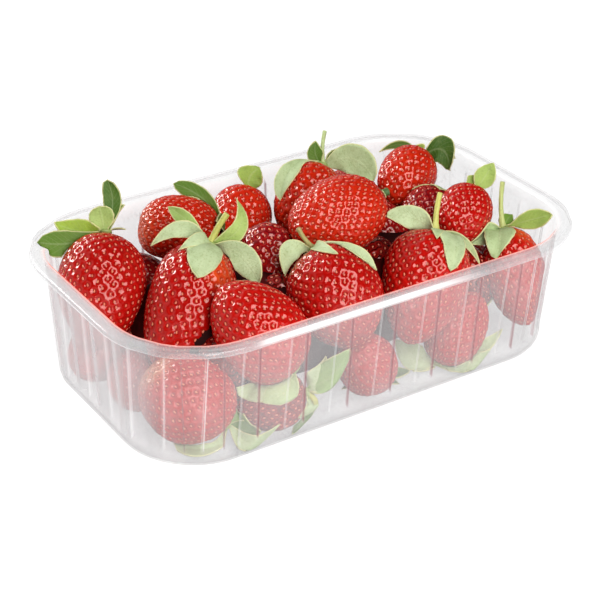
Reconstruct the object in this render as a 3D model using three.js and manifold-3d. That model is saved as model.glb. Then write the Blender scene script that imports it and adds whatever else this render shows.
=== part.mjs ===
// A clear thermoformed punnet heaped with strawberries.
// Millimetres, +Z up.  The origin is the middle of the footprint, on the underside of the base;
// +X runs along the punnet and +Y across it.  Two nodes: the tray, and the heap of fruit that
// is one solid, a small core with the berries, their leaves and their stalks joined to it.

import * as THREE from "three";
import { mergeVertices } from "three/addons/utils/BufferGeometryUtils.js";
import Module from "manifold-3d";

const wasm = await Module();
wasm.setup();

// ---------------------------------------------------------------- driving dimensions

const RIM_LENGTH = 187;       // over the flange, along X
const RIM_WIDTH = 115.4;      // over the flange, along Y
const HEIGHT = 50;            // base to rim
const BASE_LENGTH = 172;
const BASE_WIDTH = 96.7;
const RIM_CORNER = 35.7;      // corner radius over the flange
const BASE_CORNER = 27.6;
const FLANGE = 5;             // width of the flat rim, outside the walls
const LIP = 2.2;              // height of the turned-down edge
const WALL = 0.6;             // thickness of the sheet
const BASE_FILLET = 4;        // rounding between base and walls

const RIB_DEPTH = 1;          // how far a flute is pressed in
const RIB_TOP_WIDTH = 4.5;
const RIB_FOOT_WIDTH = 6.5;
const RIB_SLOPE = 0.8;        // run of a flute's flank
const SIDE_RIBS = [-54, -36, -18, 0, 18, 36, 54];   // their middles on a long wall
const END_RIBS = [-16, 0, 16];                      // and on a short one
const RIB_FOOT_Z = 8;
const RIB_HEAD_Z = 43;
const RIB_RUNOUT = 2;         // height in which a flute fades into the wall
const CORNER_STEPS = 5;

const CLEARANCE = 0.35;       // between the fruit and the tray

const LEAF_THICKNESS = 0.8;
const LEAF_STEPS = 3;         // along a leaf
const LEAF_ROOT = { out: 1.2, under: 2.4 };   // where a leaf leaves its crown, in the fruit
const STALK = { head: 1.1, foot: 1.4, buried: 3, sides: 5 };
const SHOWN_SIDES = 10;       // of a berry on top of the heap
const COVERED_SIDES = 8;      // and of one under it
const BERRY_RINGS = [0.02, 0.14, 0.36, 0.62, 0.86];   // places along it, from the crown
const EYE_AT = 0.45;          // where a berry's centre lies between its crown and its tip

// ---------------------------------------------------------------- the berries

// How a berry swells under its crown and narrows to its tip: exponents of t and of 1 - t.
const CONE = { shoulder: 0.40, taper: 0.60 };
const LONG = { shoulder: 0.38, taper: 0.62 };
const PLUMP = { shoulder: 0.42, taper: 0.52 };
const EGG = { shoulder: 0.45, taper: 0.50 };
const PLAIN = { shoulder: 0.42, taper: 0.55 };

// at: the berry's centre.  aim: heading of its tip round Z, and how far it dips, in degrees.
// size: length and greatest width.  leaves: turn round the stalk, lift above the crown's plane,
// length, width and arch.  stalk: turn, lift and length.
const TOP_LAYER = [
  { at: [-70, 20, 41], aim: [-101, 46], size: [38, 31], form: CONE,
    leaves: [[-20, 8, 19, 8], [-30, 28, 15, 7], [165, 78, 10, 9], [133, 52, 19, 8], [180, 28, 15, 7]] },
  { at: [-34, 30, 48], aim: [163, -11], size: [30, 24], form: PLAIN,
    leaves: [[50, -42, 23, 9], [140, -25, 13, 8], [-130, -25, 13, 8], [-50, -25, 13, 7]] },
  { at: [-51, -3, 39.5], aim: [-159, 41], size: [43, 28], form: LONG, stalk: [107, 77, 13],
    leaves: [[24, -28, 21, 10, 0.35], [26, 15, 19, 7], [80, -37, 15, 7], [127, -46, 21, 12],
      [160, 65, 18, 9, -0.4], [-155, -14, 20, 11, 0.3]] },
  { at: [-40, -33, 38.5], aim: [131, -43], size: [37, 33], form: PLUMP,
    leaves: [[-122, -28, 22, 9, 0.3], [-128, 0, 16, 7]] },
  { at: [-6, 35.5, 41], aim: [-134, 35], size: [30, 23.5], form: PLAIN,
    leaves: [[180, 65, 8, 9], [-131, 43, 8, 4], [-13, -8, 11, 6]] },
  { at: [-13, 4, 39], aim: [124, -69], size: [29, 24], form: PLAIN, leaves: [] },
  { at: [-7, -29, 40], aim: [-97, 41], size: [37, 33.5], form: PLAIN, stalk: [10, 55, 10.5],
    leaves: [[-20, -22, 17, 9, 0.35], [78, -32, 13, 5], [135, -42, 21, 7, 0.3]] },
  { at: [11, -6, 56.3], aim: [164, -20], size: [36, 27], form: EGG, stalk: [87, 0, 8],
    leaves: [[60, -20, 12, 6], [180, -30, 12, 7], [-60, -20, 12, 7]] },
  { at: [17, 25, 48.5], aim: [-152, 41], size: [33, 27], form: PLAIN, stalk: [63, 67, 10.5],
    leaves: [[68, 35, 8, 7], [-133, 45, 10, 6], [-170, -5, 22, 11, 0.3], [30, -62, 23, 9, 0.25],
      [-44, -69, 22, 5]] },
  { at: [64, 26, 44.3], aim: [-151, 19], size: [27, 22.5], form: PLAIN,
    leaves: [[-160, -3, 15, 10, 0.4], [55, 75, 6, 7], [7, -17, 16, 6, 0.3], [-148, 36, 15, 6]] },
  { at: [58.5, 5.5, 37], aim: [-142, 28], size: [26, 21], form: PLAIN, leaves: [] },
  { at: [61.5, -12.5, 46], aim: [-149, 20], size: [25, 20.5], form: PLAIN,
    leaves: [[128, 62, 12, 9], [27, 48, 8, 6]] },
  { at: [27.5, -34, 36.5], aim: [-143, 49], size: [41, 30], form: LONG, stalk: [90, 76, 14.5],
    leaves: [[26, 1, 20, 9, 0.25], [135, -46, 21, 10, 0.25], [-171, -29, 20, 3], [107, -29, 8, 5]] },
  { at: [69, -32.5, 25.5], aim: [-99, 53], size: [35, 22], form: PLAIN, stalk: [143, 73, 19],
    leaves: [[-12, 1, 14, 6, 0.3], [60, -41, 14, 10], [158, 7, 18, 9], [-174, 32, 9, 7],
      [110, -32, 9, 4]] },
];

const MIDDLE_LAYER = [
  { at: [37, 6, 34], aim: [70, -10], size: [28, 25], form: PLAIN, leaves: [] },
  { at: [-33, 14, 29.5], aim: [10, 10], size: [28, 24], form: PLAIN, leaves: [] },
  { at: [42, 33.5, 38], aim: [60, 20], size: [27, 23], form: PLAIN, leaves: [] },
  { at: [3, 16, 26], aim: [-160, -10], size: [25, 22], form: PLAIN, leaves: [] },
];

const BOTTOM_LAYER = [
  { at: [-66, -30, 16.5], aim: [146, -21], size: [33, 31], form: EGG,
    leaves: [[-116, -41, 22, 9], [-132, 30, 9, 8], [-124, -4, 16, 8], [-175, 75, 10, 8]] },
  { at: [3, -34, 12.5], aim: [-72, 27], size: [26, 23], form: PLAIN,
    leaves: [[0, -10, 12, 7], [120, -10, 12, 7], [-120, -10, 12, 7]] },
  { at: [40.5, -37.5, 14], aim: [-4, -57], size: [29, 21.5], form: PLAIN,
    leaves: [[121, 12, 18, 9], [110, 40, 12, 6], [-45, -31, 12, 8], [-51, -36, 18, 7]] },
  { at: [-38, -38.5, 12], aim: [155, 31], size: [25, 21], form: PLAIN, stalk: [-131, 17, 9],
    leaves: [[39, 44, 12, 9], [-157, -49, 11, 8], [65, -27, 12, 7]] },
  { at: [-70, 21.5, 13], aim: [-160, 10], size: [29, 23], form: PLAIN, leaves: [] },
  { at: [-70.5, -2.5, 11.5], aim: [-110, 0], size: [24, 21], form: PLAIN, leaves: [] },
  { at: [-39.5, -4, 15], aim: [30, 0], size: [32, 27], form: PLAIN, leaves: [] },
  { at: [-46, 34, 19.5], aim: [160, 70], size: [34, 27], form: PLAIN, leaves: [] },
  { at: [-12, -8.5, 14], aim: [100, 0], size: [28, 25], form: PLAIN, leaves: [] },
  { at: [-14, 29, 14.5], aim: [80, 0], size: [30, 26], form: PLAIN, leaves: [] },
  { at: [18, 32, 17.5], aim: [-160, 55], size: [32, 26], form: PLAIN, leaves: [] },
  { at: [20, -8, 14.5], aim: [20, 0], size: [31, 26], form: PLAIN, leaves: [] },
  { at: [50, 28.5, 17.5], aim: [120, 55], size: [32, 26], form: PLAIN, leaves: [] },
  { at: [50.5, -5, 14.5], aim: [-80, 0], size: [30, 26], form: PLAIN, leaves: [] },
  { at: [73, 14, 14], aim: [180, 0], size: [28, 24], form: PLAIN, leaves: [] },
];

// The core under the berries: height and half lengths of its rounded levels.
const CORE_CORNER = 15;
const CORE_LEVELS = [
  { z: 5, halfX: 66, halfY: 26 },
  { z: 18, halfX: 71, halfY: 31 },
  { z: 33, halfX: 62, halfY: 25 },
  { z: 42, halfX: 44, halfY: 15.5 },
];

const SHEET_COLOUR = 0xe9eef0;
const BERRY_COLOUR = 0xc4141c;

// ---------------------------------------------------------------- solids from rings of points

const radians = THREE.MathUtils.degToRad;
const lerp = THREE.MathUtils.lerp;

// Joins rings of points, each with as many points as the next, and closes both ends.
// A ring of one point is a tip.
function skin(rings) {
  const points = [];
  const faces = [];
  const starts = rings.map((ring) => {
    points.push(...ring);
    return points.length - ring.length;
  });
  for (let i = 0; i + 1 < rings.length; i += 1) {
    const low = rings[i].length;
    const high = rings[i + 1].length;
    const count = Math.max(low, high);
    for (let k = 0; k < count; k += 1) {
      const next = (k + 1) % count;
      const a = starts[i] + (low > 1 ? k : 0);
      const b = starts[i] + (low > 1 ? next : 0);
      const c = starts[i + 1] + (high > 1 ? next : 0);
      const d = starts[i + 1] + (high > 1 ? k : 0);
      if (low > 1) faces.push(a, b, c);
      if (high > 1) faces.push(a, c, d);
    }
  }
  return solidGeometry(points, faces);
}

// Lists faces so that they point outwards, whichever way they were listed before.
function outwardFaces(points, faces) {
  let volume = 0;
  for (let i = 0; i < faces.length; i += 3) {
    const [a, b, c] = faces.slice(i, i + 3).map((index) => points[index]);
    volume += a.dot(new THREE.Vector3().crossVectors(b, c));
  }
  return volume > 0 ? faces : faces.slice().reverse();
}

// A closed geometry of points and faces.
function solidGeometry(points, faces) {
  const outward = outwardFaces(points, faces);
  const geometry = new THREE.BufferGeometry();
  geometry.setAttribute("position", new THREE.Float32BufferAttribute(
    points.flatMap((point) => point.toArray()), 3));
  geometry.setIndex(outward);
  return geometry;
}

function toManifold(geometry) {
  const plain = geometry.clone();
  plain.deleteAttribute("normal");
  plain.deleteAttribute("uv");
  const merged = mergeVertices(plain, 1e-4);
  const { position } = merged.attributes;
  const points = Array.from({ length: position.count }, (_, index) => (
    new THREE.Vector3().fromBufferAttribute(position, index)));
  const whole = [];
  for (let i = 0; i < merged.index.count; i += 3) {
    const face = Array.from(merged.index.array.slice(i, i + 3));
    if (new Set(face).size === 3) whole.push(...face);
  }
  return new wasm.Manifold(new wasm.Mesh({
    numProp: 3,
    vertProperties: new Float32Array(position.array),
    triVerts: new Uint32Array(outwardFaces(points, whole)),
  }));
}

function toGeometry(manifold) {
  const mesh = manifold.getMesh();
  const geometry = new THREE.BufferGeometry();
  geometry.setAttribute("position", new THREE.Float32BufferAttribute(mesh.vertProperties, 3));
  geometry.setIndex(Array.from(mesh.triVerts));
  geometry.computeVertexNormals();
  return geometry;
}

// ---------------------------------------------------------------- the tray

// The tray's outline at a height: half sizes and corner radius of the outer face of its wall.
function wallAt(z) {
  const rise = z / HEIGHT;
  return {
    halfX: lerp(BASE_LENGTH, RIM_LENGTH - 2 * FLANGE, rise) / 2,
    halfY: lerp(BASE_WIDTH, RIM_WIDTH - 2 * FLANGE, rise) / 2,
    corner: lerp(BASE_CORNER, RIM_CORNER - FLANGE, rise),
  };
}

// One straight stretch of wall as distances along it, with how deep the flutes are at each.
function fluteStations(places, width) {
  const half = width / 2;
  return places.flatMap((middle) => {
    return [
      { along: middle - half - RIB_SLOPE, depth: 0 },
      { along: middle - half, depth: 1 },
      { along: middle + half, depth: 1 },
      { along: middle + half + RIB_SLOPE, depth: 0 },
    ];
  });
}

// A ring round the tray, drawn inset from the wall's outer face; flutes says how deep they are.
function trayRing(z, inset, flutes = 0, shape = wallAt(z)) {
  const corner = shape.corner - inset;
  const straightX = shape.halfX - shape.corner;
  const straightY = shape.halfY - shape.corner;
  const width = lerp(RIB_FOOT_WIDTH, RIB_TOP_WIDTH, z / HEIGHT);
  const ring = [];
  for (let quarter = 0; quarter < 4; quarter += 1) {
    const onEnd = quarter % 2 === 0;
    const turn = (quarter * Math.PI) / 2;
    const away = (onEnd ? straightX : straightY) + corner;
    const reach = onEnd ? straightY : straightX;
    const place = (out, along) => ring.push(new THREE.Vector3(
      out * Math.cos(turn) - along * Math.sin(turn),
      out * Math.sin(turn) + along * Math.cos(turn),
      z,
    ));
    fluteStations(onEnd ? END_RIBS : SIDE_RIBS, width).forEach(({ along, depth }) => {
      place(away - depth * flutes * RIB_DEPTH, along);
    });
    for (let step = 0; step <= CORNER_STEPS; step += 1) {
      const angle = (step / CORNER_STEPS) * (Math.PI / 2);
      place(away - corner + corner * Math.cos(angle), reach + corner * Math.sin(angle));
    }
  }
  return ring;
}

// The base's rounding as rings, from the flat of the base up to the wall.
function filletRings(inset) {
  const radius = BASE_FILLET - inset;
  return [0, 0.5, 1].map((part) => {
    const angle = (part * Math.PI) / 2;
    const z = inset + radius * (1 - Math.cos(angle));
    return trayRing(z, inset + radius * (1 - Math.sin(angle)));
  });
}

// The wall from the base's rounding to the rim, with the flutes rising and fading.
function wallRings(inset) {
  return [
    trayRing(RIB_FOOT_Z, inset, 1),
    trayRing(RIB_HEAD_Z, inset, 1),
    trayRing(RIB_HEAD_Z + RIB_RUNOUT, inset),
  ];
}

// A ring of the rim, measured inwards from its outer edge.
function rimRing(z, inset) {
  const shape = { halfX: RIM_LENGTH / 2, halfY: RIM_WIDTH / 2, corner: RIM_CORNER };
  return trayRing(z, inset, 0, shape);
}

function trayGeometry() {
  const inside = [...filletRings(WALL), ...wallRings(WALL), trayRing(HEIGHT, WALL)];
  const outside = [...filletRings(0), ...wallRings(0), trayRing(HEIGHT - WALL, 0)];
  const rim = [
    rimRing(HEIGHT, 0),
    rimRing(HEIGHT - LIP, 0),
    rimRing(HEIGHT - LIP, WALL),
    rimRing(HEIGHT - WALL, WALL),
  ];
  return skin([
    [new THREE.Vector3(0, 0, WALL)],
    ...inside,
    ...rim,
    ...outside.reverse(),
    [new THREE.Vector3(0, 0, 0)],
  ]);
}

// The room that the fruit may fill: inside the walls, and over the rim above it.
function roomForFruit() {
  const inset = WALL + CLEARANCE;
  const top = HEIGHT + CLEARANCE;
  const ceiling = 2 * HEIGHT;
  return toManifold(skin([
    [new THREE.Vector3(0, 0, inset)],
    ...filletRings(inset),
    ...wallRings(inset),
    trayRing(top, inset),
    rimRing(top, -1),
    rimRing(ceiling, -1),
    [new THREE.Vector3(0, 0, ceiling)],
  ]));
}

// ---------------------------------------------------------------- one strawberry

// A berry's radius, as a share of its greatest one, at t from its crown (0) to its tip (1).
function swell(t, { shoulder, taper }) {
  const widest = shoulder / (shoulder + taper);
  const most = widest ** shoulder * (1 - widest) ** taper;
  return (t ** shoulder * (1 - t) ** taper) / most;
}

// The directions a berry is built on: its stalk, and two square to it.
function berryFrame({ at, aim, size }) {
  const [heading, dip] = aim.map(radians);
  const tip = new THREE.Vector3(
    Math.cos(heading) * Math.cos(dip), Math.sin(heading) * Math.cos(dip), -Math.sin(dip));
  const side = new THREE.Vector3().crossVectors(tip, new THREE.Vector3(0, 0, 1)).normalize();
  const across = new THREE.Vector3().crossVectors(side, tip);
  const centre = new THREE.Vector3(...at);
  const crown = centre.clone().addScaledVector(tip, -(EYE_AT * size[0] + 0.8));
  return { tip, side, across, centre, crown };
}

// A direction square to the stalk, turned round it.
function outwards(frame, turn) {
  const angle = radians(turn);
  return frame.side.clone().multiplyScalar(Math.cos(angle))
    .addScaledVector(frame.across, Math.sin(angle));
}

function berrySolid(berry, sides) {
  const [length, width] = berry.size;
  const fullness = 2 / (1 + Math.cos(Math.PI / sides));   // its facets lie half in, half out
  const profile = [0, ...BERRY_RINGS, 1].map((t) => new THREE.Vector2(
    (width / 2) * swell(t, berry.form) * fullness, (EYE_AT - t) * length));
  const { tip, side, across, centre } = berryFrame(berry);
  const stand = new THREE.Matrix4().makeBasis(side, tip.clone().negate(), across.clone().negate());
  stand.setPosition(centre);
  const geometry = new THREE.LatheGeometry(profile.reverse(), sides);
  return toManifold(geometry.applyMatrix4(stand));
}

// Moves a point out of its own berry, so that a leaf lies on the fruit and not in it.
function clearOfBerry(point, berry, frame) {
  const offset = point.clone().sub(frame.centre);
  const depth = offset.dot(frame.tip);
  const t = depth / berry.size[0] + EYE_AT;
  if (t <= 0 || t >= 1) return point;
  const radial = offset.addScaledVector(frame.tip, -depth);
  const least = (berry.size[1] / 2) * swell(t, berry.form) + LEAF_THICKNESS / 4;
  if (radial.length() >= least) return point;
  return radial.setLength(least).addScaledVector(frame.tip, depth).add(frame.centre);
}

// A leaf of the calyx: a thin, slightly folded and waved blade along an arched line.
function leafSolid(berry, [turn, lift, length, width, arch = 0.2]) {
  const frame = berryFrame(berry);
  const out = outwards(frame, turn);
  const side = new THREE.Vector3().crossVectors(out, frame.tip).normalize();
  const rise = radians(lift);
  const inPlane = (along, up) => frame.crown.clone()
    .addScaledVector(out, along).addScaledVector(frame.tip, -up);
  const line = new THREE.QuadraticBezierCurve3(
    inPlane(LEAF_ROOT.out, -LEAF_ROOT.under),
    inPlane(
      length * (0.5 * Math.cos(rise) - arch * Math.sin(rise)),
      length * (0.5 * Math.sin(rise) + arch * Math.cos(rise)),
    ),
    inPlane(length * Math.cos(rise), length * Math.sin(rise)),
  );
  const rings = [];
  for (let i = 0; i <= LEAF_STEPS; i += 1) {
    const s = i / LEAF_STEPS;
    const half = Math.max(0.6, (width / 2) * Math.sin(Math.PI * s ** 0.85) ** 0.8);
    const normal = new THREE.Vector3().crossVectors(side, line.getTangent(s)).normalize();
    const middle = line.getPoint(s);
    const wave = 0.06 * width * Math.sin(5 * s + turn);
    const blade = [-1, 0, 1].map((edge) => middle.clone().addScaledVector(side, edge * half)
      .addScaledVector(normal, 0.12 * half * Math.abs(edge) + edge * wave));
    const row = i === 0 ? blade : blade.map((point) => clearOfBerry(point, berry, frame));
    rings.push({ row, normal });
  }
  return sheetSolid(rings);
}

// Thickens rows of points into a closed sheet whose two faces are split alike.
function sheetSolid(rings) {
  const columns = rings[0].row.length;
  const points = [];
  rings.forEach(({ row, normal }) => row.forEach((point) => {
    points.push(point.clone().addScaledVector(normal, LEAF_THICKNESS / 2));
    points.push(point.clone().addScaledVector(normal, -LEAF_THICKNESS / 2));
  }));
  const at = (i, k, under) => 2 * (i * columns + k) + under;
  const faces = [];
  const quad = (a, b, c, d) => faces.push(a, b, c, a, c, d);
  const last = rings.length - 1;
  for (let i = 0; i < last; i += 1) {
    for (let k = 0; k + 1 < columns; k += 1) {
      quad(at(i, k, 0), at(i + 1, k, 0), at(i + 1, k + 1, 0), at(i, k + 1, 0));
      const [a, b, c, d] = [at(i, k, 1), at(i + 1, k, 1), at(i + 1, k + 1, 1), at(i, k + 1, 1)];
      faces.push(a, c, b, a, d, c);
    }
    quad(at(i, 0, 0), at(i, 0, 1), at(i + 1, 0, 1), at(i + 1, 0, 0));
    quad(at(i, columns - 1, 0), at(i + 1, columns - 1, 0),
      at(i + 1, columns - 1, 1), at(i, columns - 1, 1));
  }
  for (let k = 0; k + 1 < columns; k += 1) {
    quad(at(0, k, 0), at(0, k + 1, 0), at(0, k + 1, 1), at(0, k, 1));
    quad(at(last, k, 0), at(last, k, 1), at(last, k + 1, 1), at(last, k + 1, 0));
  }
  return toManifold(solidGeometry(points, faces));
}

// A cut stalk, a little stouter at its foot, which is buried in the fruit.
function stalkSolid(berry, [turn, lift, length]) {
  const frame = berryFrame(berry);
  const rise = radians(lift);
  const direction = outwards(frame, turn).multiplyScalar(Math.cos(rise))
    .addScaledVector(frame.tip, -Math.sin(rise));
  const { head, foot, buried, sides } = STALK;
  const geometry = new THREE.CylinderGeometry(head, foot, length + buried, sides);
  geometry.translate(0, (length - buried) / 2, 0);
  const stand = new THREE.Matrix4().makeRotationFromQuaternion(
    new THREE.Quaternion().setFromUnitVectors(new THREE.Vector3(0, 1, 0), direction));
  stand.setPosition(frame.crown);
  return toManifold(geometry.applyMatrix4(stand));
}

// ---------------------------------------------------------------- the heap

function coreSolid() {
  const rings = CORE_LEVELS.map(({ z, halfX, halfY }) => {
    const outline = new THREE.Shape();
    const x = halfX - CORE_CORNER;
    const y = halfY - CORE_CORNER;
    [[x, y, 0], [-x, y, 1], [-x, -y, 2], [x, -y, 3]].forEach(([cx, cy, quarter]) => {
      const start = (quarter * Math.PI) / 2;
      outline.absarc(cx, cy, CORE_CORNER, start, start + Math.PI / 2, false);
    });
    return outline.getPoints(3).slice(0, -1).map((point) => new THREE.Vector3(point.x, point.y, z));
  });
  const bottom = [new THREE.Vector3(0, 0, CORE_LEVELS[0].z)];
  const top = [new THREE.Vector3(0, 0, CORE_LEVELS.at(-1).z + 1)];
  return toManifold(skin([bottom, ...rings, top]));
}

// The biggest body of a solid: a void that joining sealed is filled, a loose scrap dropped.
function largestBody(solid) {
  return solid.decompose().reduce((best, body) => (body.volume() > best.volume() ? body : best));
}

function heapGeometry() {
  const layers = [
    [TOP_LAYER, SHOWN_SIDES],
    [MIDDLE_LAYER, COVERED_SIDES],
    [BOTTOM_LAYER, COVERED_SIDES],
  ];
  const pieces = layers.flatMap(([layer, sides]) => layer.flatMap((berry) => [
    berrySolid(berry, sides),
    ...berry.leaves.map((leaf) => leafSolid(berry, leaf)),
    ...(berry.stalk ? [stalkSolid(berry, berry.stalk)] : []),
  ]));
  const joined = pieces.reduce((heap, piece) => heap.add(piece), coreSolid());
  return toGeometry(largestBody(largestBody(joined).intersect(roomForFruit())));
}

// ---------------------------------------------------------------- the punnet

function named(name, geometry, material) {
  const mesh = new THREE.Mesh(geometry, material);
  mesh.name = name;
  return mesh;
}

const clearSheet = new THREE.MeshStandardMaterial({
  color: SHEET_COLOUR, roughness: 0.1, metalness: 0, transparent: true, opacity: 0.35,
});
const redFruit = new THREE.MeshStandardMaterial({ color: BERRY_COLOUR, roughness: 0.35, metalness: 0 });

const punnet = new THREE.Group();
punnet.add(named("tray", trayGeometry(), clearSheet));
punnet.add(named("strawberries", heapGeometry(), redFruit));

export default punnet;
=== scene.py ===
"""A clear punnet heaped with strawberries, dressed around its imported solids.

The classes below work in millimetres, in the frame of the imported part: the origin is the middle of the
footprint on the underside of the base, +X runs along the punnet, +Y across it and +Z up. A Workpiece
turns millimetres into Blender's metres where it writes a mesh.
"""

import logging
import math
from dataclasses import dataclass, field, replace
from enum import Enum
from typing import Any, Callable, Mapping, Optional, Sequence, Union

import bpy
import numpy as np
from mathutils import Matrix
from mathutils.kdtree import KDTree


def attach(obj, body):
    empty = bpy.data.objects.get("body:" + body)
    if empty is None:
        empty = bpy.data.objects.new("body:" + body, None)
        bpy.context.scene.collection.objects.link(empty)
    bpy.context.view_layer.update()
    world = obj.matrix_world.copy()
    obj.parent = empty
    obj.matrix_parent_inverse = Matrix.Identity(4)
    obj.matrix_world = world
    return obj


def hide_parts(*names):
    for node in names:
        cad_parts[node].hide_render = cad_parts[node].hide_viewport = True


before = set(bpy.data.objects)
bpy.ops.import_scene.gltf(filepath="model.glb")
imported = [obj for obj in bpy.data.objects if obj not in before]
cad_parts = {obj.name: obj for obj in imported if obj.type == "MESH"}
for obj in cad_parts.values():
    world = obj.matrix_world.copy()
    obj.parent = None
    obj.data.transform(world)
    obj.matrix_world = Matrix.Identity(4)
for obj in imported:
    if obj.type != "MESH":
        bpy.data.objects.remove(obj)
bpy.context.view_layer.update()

LOG = logging.getLogger("punnet")
MM = 0.001
GOLDEN_ANGLE = math.pi * (3.0 - math.sqrt(5.0))
UP = (0.0, 0.0, 1.0)
WHITE = (1.0, 1.0, 1.0)

Colour = tuple[float, float, float]
Point = tuple[float, float, float]
Span = tuple[float, float]
Measure = Union[float, np.ndarray]


# ---------------------------------------------------------------- plain arithmetic


def unit(vectors: np.ndarray) -> np.ndarray:
    """Scales vectors, kept in the last axis, to length one."""
    return vectors / np.maximum(np.linalg.norm(vectors, axis=-1, keepdims=True), 1e-9)


def smoothstep(low: float, high: float, values: np.ndarray) -> np.ndarray:
    """Rises smoothly from 0 at low to 1 at high."""
    share = np.clip((values - low) / (high - low), 0.0, 1.0)
    return share * share * (3.0 - 2.0 * share)


def blended(first: Colour, second: Colour, share: float) -> np.ndarray:
    """A colour between two others."""
    return np.array(first) * (1.0 - share) + np.array(second) * share


def seeded(numbers: tuple) -> np.random.Generator:
    """Random draws that depend on some numbers alone, as these hash alike in every run."""
    return np.random.default_rng(abs(hash(numbers)) % 2**32)


# ---------------------------------------------------------------- meshes under the hands


class Workpiece:
    """One mesh that starts as a primitive, is shaped, and becomes a finished piece.

    Attributes:
        shape: The Blender object, which always stays at the origin.
        column: For each vertex of a ball or a sheet, its step round or across.
        row: For each vertex of a ball or a sheet, its step from pole to pole or along.
    """

    def __init__(self, shape: bpy.types.Object) -> None:
        """Takes an object in hand."""
        self.shape = shape
        self.column = np.zeros(0, int)
        self.row = np.zeros(0, int)

    @classmethod
    def primitive(cls, name: str, add: Callable[..., Any], **settings: Any) -> "Workpiece":
        """Adds one of Blender's primitives.

        Args:
            name: The piece's name.
            add: The operator that adds it.
            **settings: The operator's settings.

        Returns:
            The primitive.
        """
        bpy.ops.object.select_all(action="DESELECT")
        add(**settings)
        made = cls(bpy.context.object)
        made.shape.name = name
        return made

    @classmethod
    def ball(cls, name: str, around: int, rings: int) -> "Workpiece":
        """Adds a ball, the start of every closed form here.

        Args:
            name: The piece's name.
            around: How many vertices each ring has.
            rings: How many bands lie between the poles.

        Returns:
            The ball, with the place of each vertex in row and column.
        """
        add = bpy.ops.mesh.primitive_uv_sphere_add
        made = cls.primitive(name, add, segments=around, ring_count=rings, radius=1.0)
        x, y, z = made.read(scale=1.0).T
        made.row = np.rint(np.arccos(np.clip(z, -1.0, 1.0)) / math.pi * rings).astype(int)
        made.column = np.rint(np.arctan2(y, x) / (2.0 * math.pi) * around).astype(int) % around
        return made

    @classmethod
    def sheet(cls, name: str, across: int, along: int) -> "Workpiece":
        """Adds a flat grid, the start of every blade.

        Args:
            name: The piece's name.
            across: Steps across it.
            along: Steps along it.

        Returns:
            The grid, with the place of each vertex in row and column.
        """
        add = bpy.ops.mesh.primitive_grid_add
        made = cls.primitive(name, add, x_subdivisions=across, y_subdivisions=along, size=2.0)
        x, y, _ = made.read(scale=1.0).T
        made.column = np.rint((x + 1.0) / 2.0 * across).astype(int)
        made.row = np.rint((y + 1.0) / 2.0 * along).astype(int)
        return made

    @classmethod
    def hull(cls, name: str, points: np.ndarray, cuts: int) -> "Workpiece":
        """Draws a skin of triangles tightly round points and splits its edges.

        Args:
            name: The piece's name.
            points: The points, all of which lie on a rounded form.
            cuts: How many cuts split each edge.

        Returns:
            The skin, whose corners are the points.
        """
        add = bpy.ops.mesh.primitive_circle_add
        made = cls.primitive(name, add, vertices=len(points), fill_type="NOTHING")
        made.write(points)
        return made.edit(
            lambda: bpy.ops.mesh.delete(type="EDGE_FACE"),
            lambda: bpy.ops.mesh.convex_hull(join_triangles=False),
            lambda: bpy.ops.mesh.subdivide(number_cuts=cuts),
        )

    @classmethod
    def copies(cls, name: str, model: "Workpiece", places: Sequence[np.ndarray]) -> "Workpiece":
        """Makes one mesh of many copies of a model, each shaped in its own way.

        Args:
            name: The piece's name.
            model: What is copied. It is used up.
            places: For each copy, where every vertex of the model goes.

        Returns:
            The copies as one piece.
        """
        source = model.shape.data
        vertices, loops, faces = len(source.vertices), len(source.loops), len(source.polygons)
        corners, starts = np.zeros(loops, np.int32), np.zeros(faces, np.int32)
        source.loops.foreach_get("vertex_index", corners)
        source.polygons.foreach_get("loop_start", starts)
        uv = np.zeros(loops * 2, np.float32)
        source.uv_layers[0].uv.foreach_get("vector", uv)
        count = len(places)
        numbers = np.arange(count)[:, None]
        mesh = bpy.data.meshes.new(name)
        mesh.vertices.add(count * vertices)
        mesh.loops.add(count * loops)
        mesh.polygons.add(count * faces)
        mesh.loops.foreach_set("vertex_index", (corners + numbers * vertices).ravel())
        mesh.polygons.foreach_set("loop_start", (starts + numbers * loops).ravel())
        mesh.update(calc_edges=True)
        mesh.uv_layers.new(name="UVMap").uv.foreach_set("vector", np.tile(uv, count))
        shape = bpy.data.objects.new(name, mesh)
        bpy.context.scene.collection.objects.link(shape)
        bpy.data.objects.remove(model.shape)
        return cls(shape).write(np.concatenate(places))

    def read(self, scale: float = MM) -> np.ndarray:
        """The places of the vertices, in millimetres unless another scale is given."""
        flat = np.zeros(len(self.shape.data.vertices) * 3, np.float32)
        self.shape.data.vertices.foreach_get("co", flat)
        return flat.reshape(-1, 3).astype(float) / scale

    def write(self, points: np.ndarray) -> "Workpiece":
        """Moves the vertices to points in millimetres."""
        self.shape.data.vertices.foreach_set("co", (points * MM).astype(np.float32).ravel())
        self.shape.data.update()
        return self

    def note(self, name: str, values: np.ndarray) -> "Workpiece":
        """Keeps one number for each vertex, for a finish to read."""
        attribute = self.shape.data.attributes.new(name, "FLOAT", "POINT")
        attribute.data.foreach_set("value", np.asarray(values, np.float32))
        return self

    def tint(self, name: str, colours: Union[np.ndarray, Colour]) -> "Workpiece":
        """Keeps a colour for each vertex, or one for them all, for a finish to read."""
        attribute = self.shape.data.attributes.new(name, "FLOAT_COLOR", "POINT")
        full = np.ones((len(self.shape.data.vertices), 4), np.float32)
        full[:, :3] = colours
        attribute.data.foreach_set("color", full.ravel())
        return self

    def take(self) -> None:
        """Makes this the one selected and active object."""
        bpy.ops.object.select_all(action="DESELECT")
        self.shape.select_set(True)
        bpy.context.view_layer.objects.active = self.shape

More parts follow.
